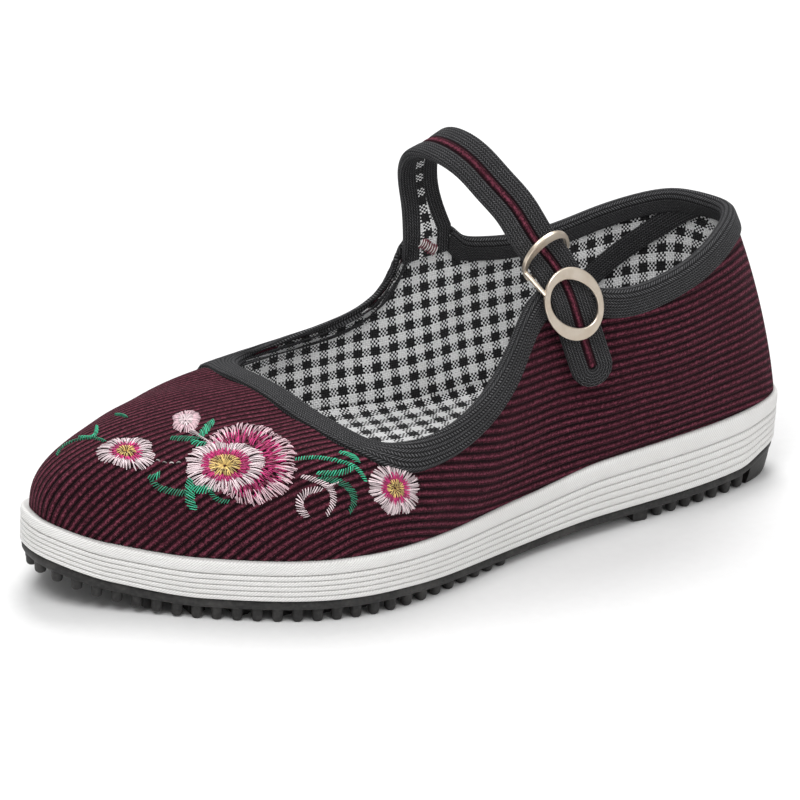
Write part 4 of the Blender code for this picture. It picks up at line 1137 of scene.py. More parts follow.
# Satin stems and leaves: width at the middle, lean, colour, places along them
STEMS = (
    (1.9, 0.9, ROSE_WHITE, ((32.4, 12.6), (32.2, 14.8), (32.0, 16.0))),
    (0.5, 2.5, ROSE_WHITE, ((32.0, 16.0), (31.2, 17.6), (30.6, 19.4))),
    (2.0, 0.7, DARK_GREEN, ((38.2, 13.1), (35.2, 15.2), (32.3, 17.4))),
    (2.5, 1.1, LEAF_GREEN, ((31.5, 16.1), (28.0, 13.6), (25.1, 11.5))),
    (2.2, 0.5, LEAF_GREEN, ((33.9, 17.2), (32.9, 19.0), (31.4, 20.0))),
    (0.9, 0.6, DARK_GREEN, ((64.4, -2.1), (61.6, -4.5), (57.8, -2.8), (55.0, 0.0))),
    (1.0, 0.6, LEAF_GREEN, ((57.0, -4.0), (55.0, -0.9), (51.1, -6.5))),
    (1.0, 0.6, DARK_GREEN, ((44.5, -9.3), (43.6, -6.6), (43.6, -4.1))),
    (0.8, 0.6, DARK_GREEN, ((55.0, 0.0), (53.9, 2.3), (53.4, 4.6))),
    (1.9, 0.8, LEAF_GREEN, ((49.1, 20.3), (47.6, 21.3), (46.2, 21.4))),
    (1.8, 0.6, DARK_GREEN, ((49.2, 21.8), (48.6, 24.0), (47.1, 26.2), (44.9, 28.5), (42.4, 30.3))),
    (2.8, 0.7, LEAF_GREEN, ((40.4, 27.6), (42.1, 29.6), (43.6, 31.6), (44.6, 34.4))),
    (2.2, 0.6, LEAF_GREEN, ((41.9, 28.9), (39.2, 31.6), (36.0, 33.2))),
    (0.6, 2.0, PALE_PINK, ((38.0, 32.4), (36.0, 33.6), (34.4, 35.6))),
    (1.4, 0.6, DARK_GREEN, ((37.5, 32.2), (37.9, 34.7), (37.2, 36.8), (35.1, 38.8))),
    (1.3, 0.5, LEAF_GREEN, ((13.8, 37.7), (9.1, 39.4), (4.1, 43.6), (1.6, 46.8), (0.8, 52.1))),
    (1.7, 0.7, LEAF_GREEN, ((2.1, 40.5), (0.3, 43.4), (0.3, 46.3))),
    (1.9, 0.7, LEAF_GREEN, ((10.9, 44.4), (7.1, 46.5), (4.7, 47.1), (1.6, 46.8))),
    (2.0, 0.8, DARK_GREEN, ((11.9, 46.0), (7.2, 49.5), (5.5, 53.0), (6.0, 56.7), (8.3, 59.1))),
    (1.8, 0.7, ROSE_WHITE, ((15.0, 43.4), (11.8, 47.0), (10.4, 49.8), (10.8, 53.4), (14.4, 56.8))),
    (0.5, 2.2, ROSE_WHITE, ((10.6, 49.2), (9.0, 49.4), (7.7, 49.4))),
    (2.3, 0.6, ROSE_WHITE, ((12.6, 49.4), (15.4, 48.2), (18.4, 48.8), (20.0, 51.4), (19.6, 54.6))),
)
RUNNING_STEM = ((45.3, 17.3), (43.5, 19.6), (39.5, 22.0))


class Cloth:
    """Finds the place and the outward direction of a spot given by its flat cloth coordinates."""

    def __init__(self, uv, grid):
        points = dented(*grid)
        index = grid_faces(points.shape[0], points.shape[1], False, False)[0]
        index = index[points[:, :, 0].reshape(-1)[index].min(1) > EMBROIDERED_FROM]
        index = np.vstack([index[:, (0, 1, 2)], index[:, (0, 2, 3)]])
        flat = np.dstack([uv, np.zeros(uv.shape[:2])]).reshape(-1, 3)
        self.flat = flat[index]
        self.places = points.reshape(-1, 3)[index]
        self.normals = grid[1].reshape(-1, 3)[index].mean(1)
        self.search = BVHTree.FromPolygons([Vector(spot) for spot in flat], index.tolist())

    def at(self, spot):
        """Places and normals of several flat spots."""
        found = [self.search.find_nearest(Vector((p, w, 0.0))) for p, w in spot]
        near = np.array([hit[0] for hit in found])
        index = np.array([hit[2] for hit in found])
        a, b, c = (self.flat[index, k] for k in range(3))
        whole = np.cross(b - a, c - a)[:, 2]
        share_b = np.cross(near - a, c - a)[:, 2] / whole
        share_c = np.cross(b - a, near - a)[:, 2] / whole
        shares = np.stack([1 - share_b - share_c, share_b, share_c], 1)
        return np.einsum("ij,ijk->ik", shares, self.places[index]), self.normals[index]


def flower_stitches(dice, centre, rim, lobes, notch, layers):
    """Radial long and short stitches of a flower, layer by layer."""
    centre = np.array(centre)
    offsets = np.array(rim) - centre
    angles = np.arctan2(offsets[:, 1], offsets[:, 0])
    order = np.argsort(angles)
    reach = spline(angles[order], np.hypot(offsets[:, 0], offsets[:, 1])[order][:, None], period=2 * pi)
    start = dice.uniform(0, 2 * pi)
    for inner, outer, colour, lift, gap in layers:
        angle = start
        while angle < start + 2 * pi:
            far = float(reach(angle)[0, 0])
            lobe = abs(sin(lobes * (angle - start) / 2))
            far *= 1 - notch * (1 - lobe) ** 2 * outer
            turn = angle + dice.uniform(-0.05, 0.05)
            ray = np.array([cos(turn), sin(turn)])
            lean = np.array([-ray[1], ray[0]]) * dice.uniform(-0.35, 0.35)
            near = far * inner * dice.uniform(0.76, 1.24)
            end = far * outer * dice.uniform(0.95, 1.02)
            yield centre + ray * near + lean, centre + ray * end - lean, colour, lift
            angle += gap / max(far * outer, 1.5) * dice.uniform(0.9, 1.1)


def stem_stitches(dice, width, lean, colour, places):
    """Satin stitches across a path, evenly apart and shorter at its ends."""
    places = np.array(places, float)
    knots = lengths_along(places)
    path = spline(knots, places)
    travelled = 0.0
    while travelled <= knots[-1]:
        spot = path(travelled)[0]
        ahead = unit(path(min(travelled + 0.1, knots[-1]))[0] - path(max(travelled - 0.1, 0))[0])
        side = np.array([-ahead[1], ahead[0]])
        share = travelled / knots[-1]
        half = width / 2 * (0.55 + 0.45 * sin(pi * share) ** 0.5) * dice.uniform(0.9, 1.12)
        slanted = side * half + ahead * half * lean * dice.uniform(0.8, 1.2)
        yield spot - slanted, spot + slanted, colour, STEM_LIFT
        travelled += STEM_GAP


def running_stitches(places):
    """One row of separate stitches along a path."""
    places = np.array(places, float)
    knots = lengths_along(places)
    path = spline(knots, places)
    for travelled in np.arange(0.2, knots[-1] - RUNNING_STITCH, RUNNING_PITCH):
        yield path(travelled)[0], path(travelled + RUNNING_STITCH)[0], THREAD_GREY, RUNNING_LIFT


def grow_stitches(name, points, colours):
    """Threads from runs of points, each run one stitch, coloured point by point."""
    first = np.arange(len(points) // STITCH_POINTS)[:, None] * STITCH_POINTS + np.arange(STITCH_POINTS - 1)
    edges = np.stack([first, first + 1], -1).reshape(-1, 2)
    mesh = bpy.data.meshes.new(name)
    mesh.from_pydata((points + SHIFT).tolist(), edges.tolist(), [])
    layer = mesh.attributes.new("shade", "FLOAT_COLOR", "POINT")
    layer.data.foreach_set("color", colours.astype(np.float32).ravel())
    piece = bpy.data.objects.new(name, mesh)
    bpy.context.scene.collection.objects.link(piece)
    grow(piece, stitch_tree(), {"Thread Width": THREAD_WIDTH, "Thread Sides": THREAD_SIDES, "Thread": thread})
    dress(piece, thread, "embroidery_thread")


def build_embroidery(cloth):
    """All stitches as one piece: the back of the large flower, stems and leaves, then the rest."""
    dice = np.random.default_rng(11)
    stitches = list(flower_stitches(dice, *FLOWERS[0]))
    for width, lean, colour, places in STEMS:
        stitches += stem_stitches(dice, width, lean, colour, places)
    stitches += running_stitches(RUNNING_STEM)
    for flower in FLOWERS[1:]:
        stitches += flower_stitches(dice, *flower)
    share = np.linspace(0, 1, STITCH_POINTS)
    spots = [start + (end - start) * share[:, None] for start, end, colour, lift in stitches]
    places, normals = cloth.at(np.concatenate(spots))
    arch = np.tile(np.sin(pi * share) ** 0.6, len(stitches))
    base = np.repeat([lift * 0.001 for start, end, colour, lift in stitches], STITCH_POINTS)
    # Both ends dip into the pile
    rise = arch * (base + STITCH_ARCH) + (1 - arch) * (base * 0.35 - STITCH_DIP)
    points = places + normals * rise[:, None]
    colours = np.array([linear(colour) for start, end, colour, lift in stitches])
    # Each stitch's brightness is scaled at random: partly the thread's own tone, partly painted shade and
    # glints
    colours[:, :3] *= dice.uniform(0.45, 1.20, len(stitches))[:, None]
    grow_stitches("embroidery", points, np.repeat(colours, STITCH_POINTS, 0))


build_embroidery(Cloth(cloth_uv, cloth_grid))


# Binding

# Share of the inner width that shows, gap under the tape, its thickness, its rise over the edge
INSIDE_SHARE = 0.62
BINDING_LIFT = GAP * 0.4
BINDING_PUFF = 0.0011
BINDING_CREST = 0.0013
# How far the hidden back bites into the wall, and the tape's cloth map over the edge and there
BINDING_BITE = 0.0004
BINDING_OVER = 0.0045
BINDING_BACK = 0.013
# Share of the collar left free at each side of the strap's root
ROOT_FREE = 0.0012
BINDING_COLUMNS = 1000


def puffed(share):
    """Height of the tape's face over the cloth; its free edge is rolled down."""
    rolled = (1 - abs(2 * share - 1) ** 6) ** 0.5 if share > 0.5 else 1.0
    return BINDING_LIFT + BINDING_PUFF * rolled


def build_binding():
    """Knit tape folded over the collar's edge, a little puffed, with rolled edges."""
    start = knot_of(MEDIAL_EAR_FRONT_ROW) + ROOT_FREE
    finish = knot_of(MEDIAL_EAR_BACK_ROW) + 1 - ROOT_FREE
    us = np.linspace(start, finish, BINDING_COLUMNS)
    slant = np.convolve(np.pad(collar_slant(us), 4, mode="edge"), np.ones(9) / 9, mode="valid")
    outside = BINDING_OUTSIDE * slant
    inside = BINDING_INSIDE * INSIDE_SHARE * slant
    top = skin(us, 0.0)
    normal = skin_normal(us, np.zeros_like(us))
    upward = unit(top - skin(us, 0.002))
    loop = []
    across = []
    spans = np.linspace(1, 0, 10)
    for k in spans:
        down = outside * k
        loop.append(skin(us, down) + skin_normal(us, down) * puffed(k))
        across.append(-BINDING_OUTSIDE * k)
    reach = BINDING_PUFF + BINDING_LIFT
    half = WALL / 2
    for angle in np.linspace(15, 165, 7):
        a = radians(angle)
        loop.append(top - normal * half + normal * (half + reach) * cos(a)
                    + upward * (BINDING_CREST + reach) * sin(a))
        across.append(angle / 180 * BINDING_OVER)
    for k in spans[::-1]:
        down = inside * k
        loop.append(skin(us, down) - skin_normal(us, down) * (WALL + puffed(k)))
        across.append(BINDING_OVER + BINDING_INSIDE * k)
    for k in (0.98, 0.5, 0.1):
        down = inside * k
        loop.append(skin(us, down) - skin_normal(us, down) * (WALL - BINDING_BITE))
        across.append(BINDING_BACK)
    for k in (0.1, 0.5, 0.98):
        down = outside * k
        loop.append(skin(us, down) - skin_normal(us, down) * BINDING_BITE)
        across.append(BINDING_BACK)
    points = np.stack(loop, 1)
    uv = np.empty((len(us), points.shape[1] + 1, 2))
    uv[..., 0] = (lengths_along(top) * 1000)[:, None]
    uv[..., 1] = (np.append(across, across[0]) * 1000)[None, :]
    piece = grid_piece("collar_tape", points, uv, sharp=70)
    dress(piece, knit, "binding_tape", "collar_binding")


build_binding()


# Strap

HEEL_TAPE_WIDTH = 0.0070
HEEL_TAPE_THICKNESS = 0.0010
# Tape inside the heel: collar parameter and distance down from the collar
HEEL_TAPE_ROWS = (
    (0.5235, 0.0018), (0.5400, 0.0058), (0.5560, 0.0093), (0.5736, 0.0128), (0.5930, 0.0168),
    (0.6120, 0.0220), (0.6290, 0.0300),
)
ROOT_SEAM_HALF = 0.0060
ROOT_SEAM_DEPTH = 0.0029
ROOT_SEAM_STITCHES = 22
FRAYED_CLOTH = "#7c3b48"
SEAM_THREAD = "#f0ecea"
# The strap's tapes overlap its corduroy by this much, and reach this far down over the ear
TAPE_OVERLAP = 0.0004
TAPE_ROOT_DROP = 0.0075
# The strips between the tapes: stand off the core, rise of the corduroy's middle, tuck under them
STRAP_SKIN = 0.0001
STRAP_CROWN = 0.0002
STRIP_TUCK = 0.0008


def strap_curve():
    """Curve of the strap's middle from root to tip: place, width direction and width."""
    root_u = (knot_of(MEDIAL_EAR_FRONT_ROW) + knot_of(MEDIAL_EAR_BACK_ROW)) / 2
    ear_u = knot_of(LATERAL_EAR_ROW)
    half = STRAP_THICKNESS / 2 + STRAP_TAPE_STEP
    root = skin(root_u, 0.0) - skin_normal(root_u, 0.0) * WALL / 2
    along_edge = unit(skin(root_u + 0.002, 0.0) - skin(root_u - 0.002, 0.0))
    points = [(root + np.array([0, 0, 2.5 * GAP]), along_edge, STRAP_ROOT_WIDTH)]
    for x, y, z, twist in ARCH_ROWS:
        place = np.array([x * SHOE_LENGTH, y * OPENING_WIDTH, z * STRAP_TOP])
        points.append((place, np.array([cos(radians(twist)), 0, -sin(radians(twist))]), STRAP_WIDTH))
    over = BINDING_THICKNESS + 3.6 * GAP + half
    for share, out in ((0.12, over + GAP), (0.42, over), (0.70, over * 0.9), (1.0, half + 4 * GAP)):
        down = share * TAIL_LENGTH
        u = ear_u + TAIL_DRIFT * share
        place = skin(u, down) + skin_normal(u, down) * out
        points.append((place, unit(skin(u - 0.004, down) - skin(u + 0.004, down)), STRAP_WIDTH))
    places = np.array([point[0] for point in points])
    knots = lengths_along(places)
    knots /= knots[-1]
    values = np.column_stack([places, np.array([p[1] for p in points]), [p[2] for p in points]])
    return spline(knots, values)


strap_at = strap_curve()


def strap_frames(steps):
    """Places, width, outward and travel directions, and widths along the strap."""
    t = np.linspace(0, 1, steps)
    rows = strap_at(t)
    travel = unit(strap_at(np.minimum(t + 0.004, 1))[:, :3] - strap_at(np.maximum(t - 0.004, 0))[:, :3])
    width = rows[:, 3:6] - travel * (rows[:, 3:6] * travel).sum(1)[:, None]
    width = unit(width)
    return rows[:, :3], width, np.cross(width, travel), travel, rows[:, 6]


def oval(half_a, half_b, count, power):
    """Closed rounded section as pairs of offsets."""
    angle = np.arange(count) / count * 2 * pi
    a = half_a * np.sign(np.cos(angle)) * np.abs(np.cos(angle)) ** power
    b = half_b * np.sign(np.sin(angle)) * np.abs(np.sin(angle)) ** power
    return a, b


def tape_piece(name, spots, sides, outs, half_width, half_thickness):
    """Rounded tape along a line of spots, with its length and girth as the cloth map."""
    a, b = oval(half_width, half_thickness, 24, 0.5)
    points = spots[:, None] + sides[:, None] * a[None, :, None] + outs[:, None] * b[None, :, None]
    ring = np.stack([a, b], 1)
    uv = np.empty((len(spots), len(a) + 1, 2))
    uv[..., 0] = (lengths_along(spots) * 1000)[:, None]
    uv[..., 1] = (lengths_along(np.vstack([ring, ring[:1]])) * 1000)[None, :]
    return grid_piece(name, points, uv, sharp=70)


def build_strap():
    """One tape up the strap's front edge, round the tip and back, with corduroy and lining between."""
    place, width, outward, travel, span = strap_frames(240)
    place = place.copy()
    place[0] -= np.array([0, 0, TAPE_ROOT_DROP])
    edge = span / 2 - STRAP_TAPE_WIDTH / 2
    angles = np.linspace(0, pi, 25)[1:-1, None]
    tip_sides = -width[-1] * np.cos(angles) + travel[-1] * np.sin(angles)
    sides = np.concatenate([-width, tip_sides, width[::-1]])
    outs = np.concatenate([outward, np.repeat(outward[-1:], len(angles), 0), outward[::-1]])
    middles = np.concatenate([place, np.repeat(place[-1:], len(angles), 0), place[::-1]])
    edges = np.concatenate([edge, np.repeat(edge[-1:], len(angles)), edge[::-1]])
    tape = tape_piece("strap_tape", middles + sides * edges[:, None], sides, outs,
                      STRAP_TAPE_WIDTH / 2 + TAPE_OVERLAP, STRAP_THICKNESS / 2 + STRAP_TAPE_STEP)
    dress(tape, knit, "strap_cloth", "strap")

    # The corduroy is offset so that one wale runs up its middle
    inner = span / 2 - STRAP_TAPE_WIDTH + STRIP_TUCK
    travelled = lengths_along(place) * 1000
    face = STRAP_THICKNESS / 2 + STRAP_SKIN
    for name, low, high, crown, material, slot in (
            ("strap_corduroy", 0.0, face, STRAP_CROWN, corduroy, "corduroy"),
            ("strap_lining", -face, 0.0, 0.0, gingham, "gingham_lining")):
        shoulder = high + crown * 0.6
        section = ((-1, low), (1, low), (1, high), (0.5, shoulder), (0, high + crown), (-0.5, shoulder),
                   (-1, high))
        strip = np.stack([place + width * (inner * s)[:, None] + outward * h for s, h in section], 1)
        across = np.array([s for s, h in section + section[:1]])
        uv = np.empty((len(place), len(across), 2))
        uv[..., 0] = travelled[:, None]
        uv[..., 1] = across[None, :] * inner[:, None] * 1000 + WALE_PITCH / 2
        piece = grid_piece(name, strip, uv, sharp=50)
        dress(piece, material, slot)


build_strap()


def heel_tape_path(mirrored):
    """Middle line of the tape inside the heel, as collar parameters and distances down."""
    rows = np.array(HEEL_TAPE_ROWS)
    knots = np.linspace(0, 1, len(rows))
    curve = spline(knots, rows)(np.linspace(0, 1, 60))
    u = 2 * HEEL_U - curve[:, 0] if mirrored else curve[:, 0]
    return u, curve[:, 1]


def build_heel_tapes():
    """Knit tapes that cover the heel stiffener's edge, one on each inner side."""
    for name, mirrored in (("heel_tape_inner", False), ("heel_tape_outer", True)):
        u, down = heel_tape_path(mirrored)
        normal = skin_normal(u, down)
        spots = dented(skin(u, down), normal) - normal * (WALL + HEEL_TAPE_THICKNESS / 2 + BINDING_LIFT)
        side = np.cross(normal, unit(np.gradient(spots, axis=0)))
        piece = tape_piece(name, spots, side, normal, HEEL_TAPE_WIDTH / 2, HEEL_TAPE_THICKNESS / 2)
        dress(piece, knit, "binding_tape")


def build_root_seam():
    """Raw edge of the strap's root inside the ear: a frayed burgundy end under white stitches."""
    dice = np.random.default_rng(5)
    middle = (knot_of(MEDIAL_EAR_FRONT_ROW) + knot_of(MEDIAL_EAR_BACK_ROW)) / 2
    points = []
    colours = []
    for k in range(ROOT_SEAM_STITCHES):
        share = k / (ROOT_SEAM_STITCHES - 1)
        u = middle + ROOT_SEAM_HALF * (1 - 2 * share)
        down = 0.0008 + 0.0042 * share + dice.uniform(-0.0003, 0.0003)
        # Every third stitch is sewing thread, shorter and higher than the frayed ends
        fray = k % 3 != 0
        reach = 0.0016 if fray else 0.0011
        crown = 0.0003 if fray else 0.0005
        colour = linear(FRAYED_CLOTH if fray else SEAM_THREAD)
        for step in np.linspace(-1, 1, STITCH_POINTS):
            at = max(down + step * reach, 0.0)
            lift = ROOT_SEAM_DEPTH + crown * (1 - step ** 2)
            points.append(skin(u + step * 0.0008, at) - skin_normal(u, at) * lift)
            colours.append(colour)
    grow_stitches("strap_root_seam", np.array(points), np.array(colours))


build_heel_tapes()
build_root_seam()


# Buckle and its cloth loop

RING_STEPS = 160
RING_BEVEL = 0.00022
KEEPER_CREST = 0.0021
BUCKLE_LIFT = 4.6 * GAP
LOOP_STEPS = 40
STEM_STEPS = 8


def arch_frame(distance):
    """Place and directions on the strap at a distance back from its tip."""
    place, width, outward, travel = strap_frames(181)[:4]
    travelled = lengths_along(place)
    k = int(np.argmin(np.abs(travelled - (travelled[-1] - distance))))
    return place[k], width[k], outward[k], travel[k]


def buckle_frames():
    """Centre, across, up and outward directions of the front ring and of the keeper."""
    lift = STRAP_THICKNESS / 2 + STRAP_TAPE_STEP + BUCKLE_LIFT + RING_THICKNESS / 2
    middle = TAIL_LENGTH - RING_BELOW_EAR
    reach = (RING_HEIGHT - RING_BAND) / 2
    above = arch_frame(middle + reach)
    below = arch_frame(middle - reach)
    high = above[0] + above[2] * lift
    low = below[0] + below[2] * lift
    up = unit(high - low)
    across = unit(np.cross(up, above[2] + below[2]))
    front = ((high + low) / 2, across, up, np.cross(across, up))
    place, width, outward, travel = arch_frame(middle + KEEPER_RISE)
    lean = radians(KEEPER_LEAN)
    raised = unit(outward * cos(lean) - travel * sin(lean))
    return front, (place, -width, raised, np.cross(-width, raised))


def ring_points(place, width, height, inner_at, outer_at, flat_foot=False):
    """Flat ring with bevelled edges; inner_at and outer_at move its two rims, by angle."""
    centre, across, up, out = place
    half = RING_THICKNESS / 2
    bevel = RING_BEVEL
    loops = []
    for k in range(RING_STEPS):
        angle = 2 * pi * k / RING_STEPS
        full = 0.45 if flat_foot and sin(angle) < 0 else 1.0
        ray_a = np.sign(cos(angle)) * abs(cos(angle)) ** full
        ray_b = np.sign(sin(angle)) * abs(sin(angle)) ** full
        inner = -inner_at(angle)
        outer = outer_at(angle)
        section = ((inner, bevel - half), (inner, half - bevel), (inner + bevel, half), (outer - bevel, half),
                   (outer, half - bevel), (outer, bevel - half), (outer - bevel, -half),
                   (inner + bevel, -half))
        loops.append([centre + across * (width / 2 + more) * ray_a + up * (height / 2 + more) * ray_b
                      + out * level for more, level in section])
    return np.array(loops)


def bar_points(start, finish, across, size):
    """Short square bar with bevelled edges between two points, as a grid of points."""
    along = unit(finish - start)
    side = unit(across - along * np.dot(across, along))
    up = np.cross(along, side)
    a, b = oval(size / 2, size / 2, 16, 0.45)
    return np.array([[spot + side * p + up * q for p, q in zip(a, b)] for spot in (start, finish)])


def build_buckle():
    """Ring, keeper and the link that shows, and the cloth band and stem that hold the keeper."""
    front, keeper = buckle_frames()
    # The ring's band is wider at two opposite places, and the keeper has a crest
    ring = ring_points(front, RING_WIDTH, RING_HEIGHT,
                       lambda angle: RING_BAND * (1 + 0.34 * cos(2 * angle - 2.2)),
                       lambda angle: 0.0)
    piece = grid_piece("buckle_ring", ring, closed_rows=True, sharp=38)
    dress(piece, metal, "satin_metal", "buckle")
    arc = ring_points(keeper, KEEPER_WIDTH, KEEPER_HEIGHT,
                      lambda angle: KEEPER_BAND,
                      lambda angle: KEEPER_CREST * max(0.0, sin(angle)) ** 2.2, flat_foot=True)
    piece = grid_piece("buckle_keeper", arc, closed_rows=True, sharp=38)
    dress(piece, metal, "satin_metal")
    start = keeper[0] - keeper[1] * (KEEPER_WIDTH / 2 - RING_THICKNESS * 0.4)
    finish = front[0] - front[1] * RING_WIDTH * 0.40 + front[2] * RING_HEIGHT * 0.27
    piece = grid_piece("buckle_link", bar_points(start, finish, front[1], RING_THICKNESS), sharp=38)
    dress(piece, metal, "satin_metal")

    foot = keeper[0] - keeper[2] * (KEEPER_HEIGHT - KEEPER_BAND) / 2
    inner = (KEEPER_BAND + RING_THICKNESS) * 0.52 + GAP
    axis = keeper[1]
    ear_u = knot_of(LATERAL_EAR_ROW)
    ear = skin(ear_u, 0.0) - skin_normal(ear_u, 0.0) * WALL / 2
    ear = ear + axis * np.dot(foot - ear, axis)
    down = unit(ear - foot)
    side = np.cross(down, axis)
    rings = []
    a, b = oval(LOOP_LENGTH / 2, LOOP_SKIN / 2, 16, 0.5)
    for k in range(LOOP_STEPS):
        angle = 2 * pi * k / LOOP_STEPS
        ray = down * cos(angle) + side * sin(angle)
        rings.append([foot + ray * (inner + LOOP_SKIN / 2 + q) + axis * p for p, q in zip(a, b)])
    uv = np.zeros((LOOP_STEPS + 1, len(a) + 1, 2))
    uv[..., 0] = np.linspace(0, 2 * pi * inner * 1000, LOOP_STEPS + 1)[:, None]
    uv[..., 1] = np.linspace(0, 2 * LOOP_LENGTH * 1000, len(a) + 1)[None, :]
    piece = grid_piece("buckle_loop_band", np.array(rings), uv, closed_rows=True, sharp=60)
    dress(piece, knit, "loop_tape", "buckle_loop")
    start = foot + down * (inner + LOOP_SKIN * 0.5)
    a, b = oval(LOOP_LENGTH * 0.48, LOOP_SKIN, 20, 0.4)
    stem = np.array([[start + (ear - start) * s + axis * p + side * q for p, q in zip(a, b)]
                     for s in np.linspace(0, 1, STEM_STEPS)])
    # Cloth coordinates: 6 mm up the stem and 22 mm round it
    uv = np.zeros((STEM_STEPS, len(a) + 1, 2))
    uv[..., 0] = np.linspace(0, 6, STEM_STEPS)[:, None]
    uv[..., 1] = np.linspace(0, 22, len(a) + 1)[None, :]
    piece = grid_piece("buckle_loop_stem", stem, uv, sharp=60)
    dress(piece, knit, "loop_tape")


build_buckle()


# Sole

SOLE_COLUMNS = 900
PLATE_COLUMNS = 600
SOCK_COLUMNS = 360
# The band's height in millimetres, for its twill
BAND_TALL = 16
# One rib and its groove: share of the rib's height, and its stand as a share of the rib's depth
RIB_ROWS = ((0.10, 0.6), (0.22, 1.0), (0.40, 1.0), (0.60, 1.0), (0.78, 1.0), (0.90, 0.6), (1.0, -0.55))
# Smooth strip and rolled top edge: share of the band's height, and its stand as above
BAND_TOP_ROWS = ((0.70, 0.75), (0.74, 1.0), (0.82, 1.05), (0.90, 0.95), (0.95, 0.7), (0.985, 0.1),
                 (1.0, -1.2))
# Outsole's edge: inset, and share of the plate's thickness
PLATE_ROWS = ((0.0030, 0.0), (0.0010, 0.0), (0.0005, 0.08), (0.0001, 0.3), (0.0, 0.6), (0.0002, 0.85),
              (0.0006, 1.0), (0.0030, 1.0))
# Solid back of the heel: inset, and share of its height
HEEL_ROWS = ((0.0030, 0.0), (0.0018, 0.04), (0.0014, 0.18), (0.0008, 0.6), (0.0004, 1.0))
# The sock's rounded rim: inset, and height over the sole
SOCK_ROWS = ((0.0010, 0.0), (0.0, 0.0006), (0.0, 0.0018), (0.0007, INSOLE_THICKNESS), (0.003, SOCK_RISE))
# How far the band turns in under its foot and over its top edge
BAND_FOOT_TURN = 0.004
BAND_TOP_TURN = 0.0045
HEEL_BAR_INSET = 0.0014
BAR_INSET = STUD_WIDTH + 0.0032
BAR_BEVEL = 0.0006
STUD_INSET = 0.0008
STUD_SIDES = 14
# Studs, bars and the heel's back bite into the plate by this much
STUD_BITE = 0.0007
BAR_BITE = 0.0005
HEEL_BITE = 0.0004
# The studs under the toe are shorter, as they don't reach the floor
TOE_STUD_RISE = 0.0013
# Stud profile: radius and height as shares of the stud's width and height
STUD_PROFILE = (
    (0.20, 0.0), (0.33, 0.02), (0.41, 0.09), (0.455, 0.22), (0.475, 0.45), (0.50, 1.0),
)


def sole_angles(count):
    """Angles round the sole, closer together at the toe and the heel."""
    even = np.arange(count) / count * 2 * pi
    return even - 0.12 * np.sin(2 * even)


def sole_ring(inset, height, count=SOLE_COLUMNS):
    """Ring of points round the sole, moved in by inset, at a height that depends on x."""
    flat = outline(sole_angles(count), inset)
    return np.column_stack([flat, height(flat[:, 0])])


def band_height(share):
    """Height over the floor at a share of the band's height, as a function of x."""
    def at(x):
        low = tread(station_of(x)) + GAP * 0.5
        return low + (feather(station_of(x)) - low) * share
    return at


def build_midsole():
    """White band with real grooves between its ribs, a smooth strip above and a rolled top edge."""
    rib = (1 - SMOOTH_BAND) / RIB_COUNT
    shares = [0.0]
    outs = [-0.3]
    for k in range(RIB_COUNT):
        shares += [(k + s) * rib for s, out in RIB_ROWS]
        outs += [out for s, out in RIB_ROWS]
    shares += [s for s, out in BAND_TOP_ROWS]
    outs += [out for s, out in BAND_TOP_ROWS]
    rings = [sole_ring(BAND_FOOT_TURN, band_height(0.0))]
    rings += [sole_ring(-RIB_DEPTH * out, band_height(share)) for share, out in zip(shares, outs)]
    rings += [sole_ring(BAND_TOP_TURN, band_height(1.0))]
    rings = np.array(rings)
    perimeter = lengths_along(np.vstack([rings[3], rings[3][:1]])) * 1000
    rise = np.concatenate([[0], np.array(shares) * BAND_TALL, [BAND_TALL + 2]])
    uv = np.empty((len(rings), SOLE_COLUMNS + 1, 2))
    uv[..., 0] = perimeter[None, :]
    uv[..., 1] = rise[:, None]
    piece = slab_piece("sole_band", rings, uv, sharp=75)
    # Each point of a groove is marked, for the painted shade in it
    groove = np.concatenate([[0], (np.array(outs) < -0.5) * 1.0, [0]])
    layer = piece.data.attributes.new("groove", "FLOAT", "POINT")
    layer.data.foreach_set("value", np.repeat(groove, SOLE_COLUMNS).astype(np.float32))
    dress(piece, foxing, "white_rubber", "midsole")


def plate_underside(x):
    """Height of the outsole plate's underside."""
    return tread(station_of(x)) - OUTSOLE_PLATE


def lug_foot(x):
    """Height of the foot of a stud or bar: on the floor where it reaches it."""
    return np.maximum(0.0, plate_underside(x) - STUD_HEIGHT)


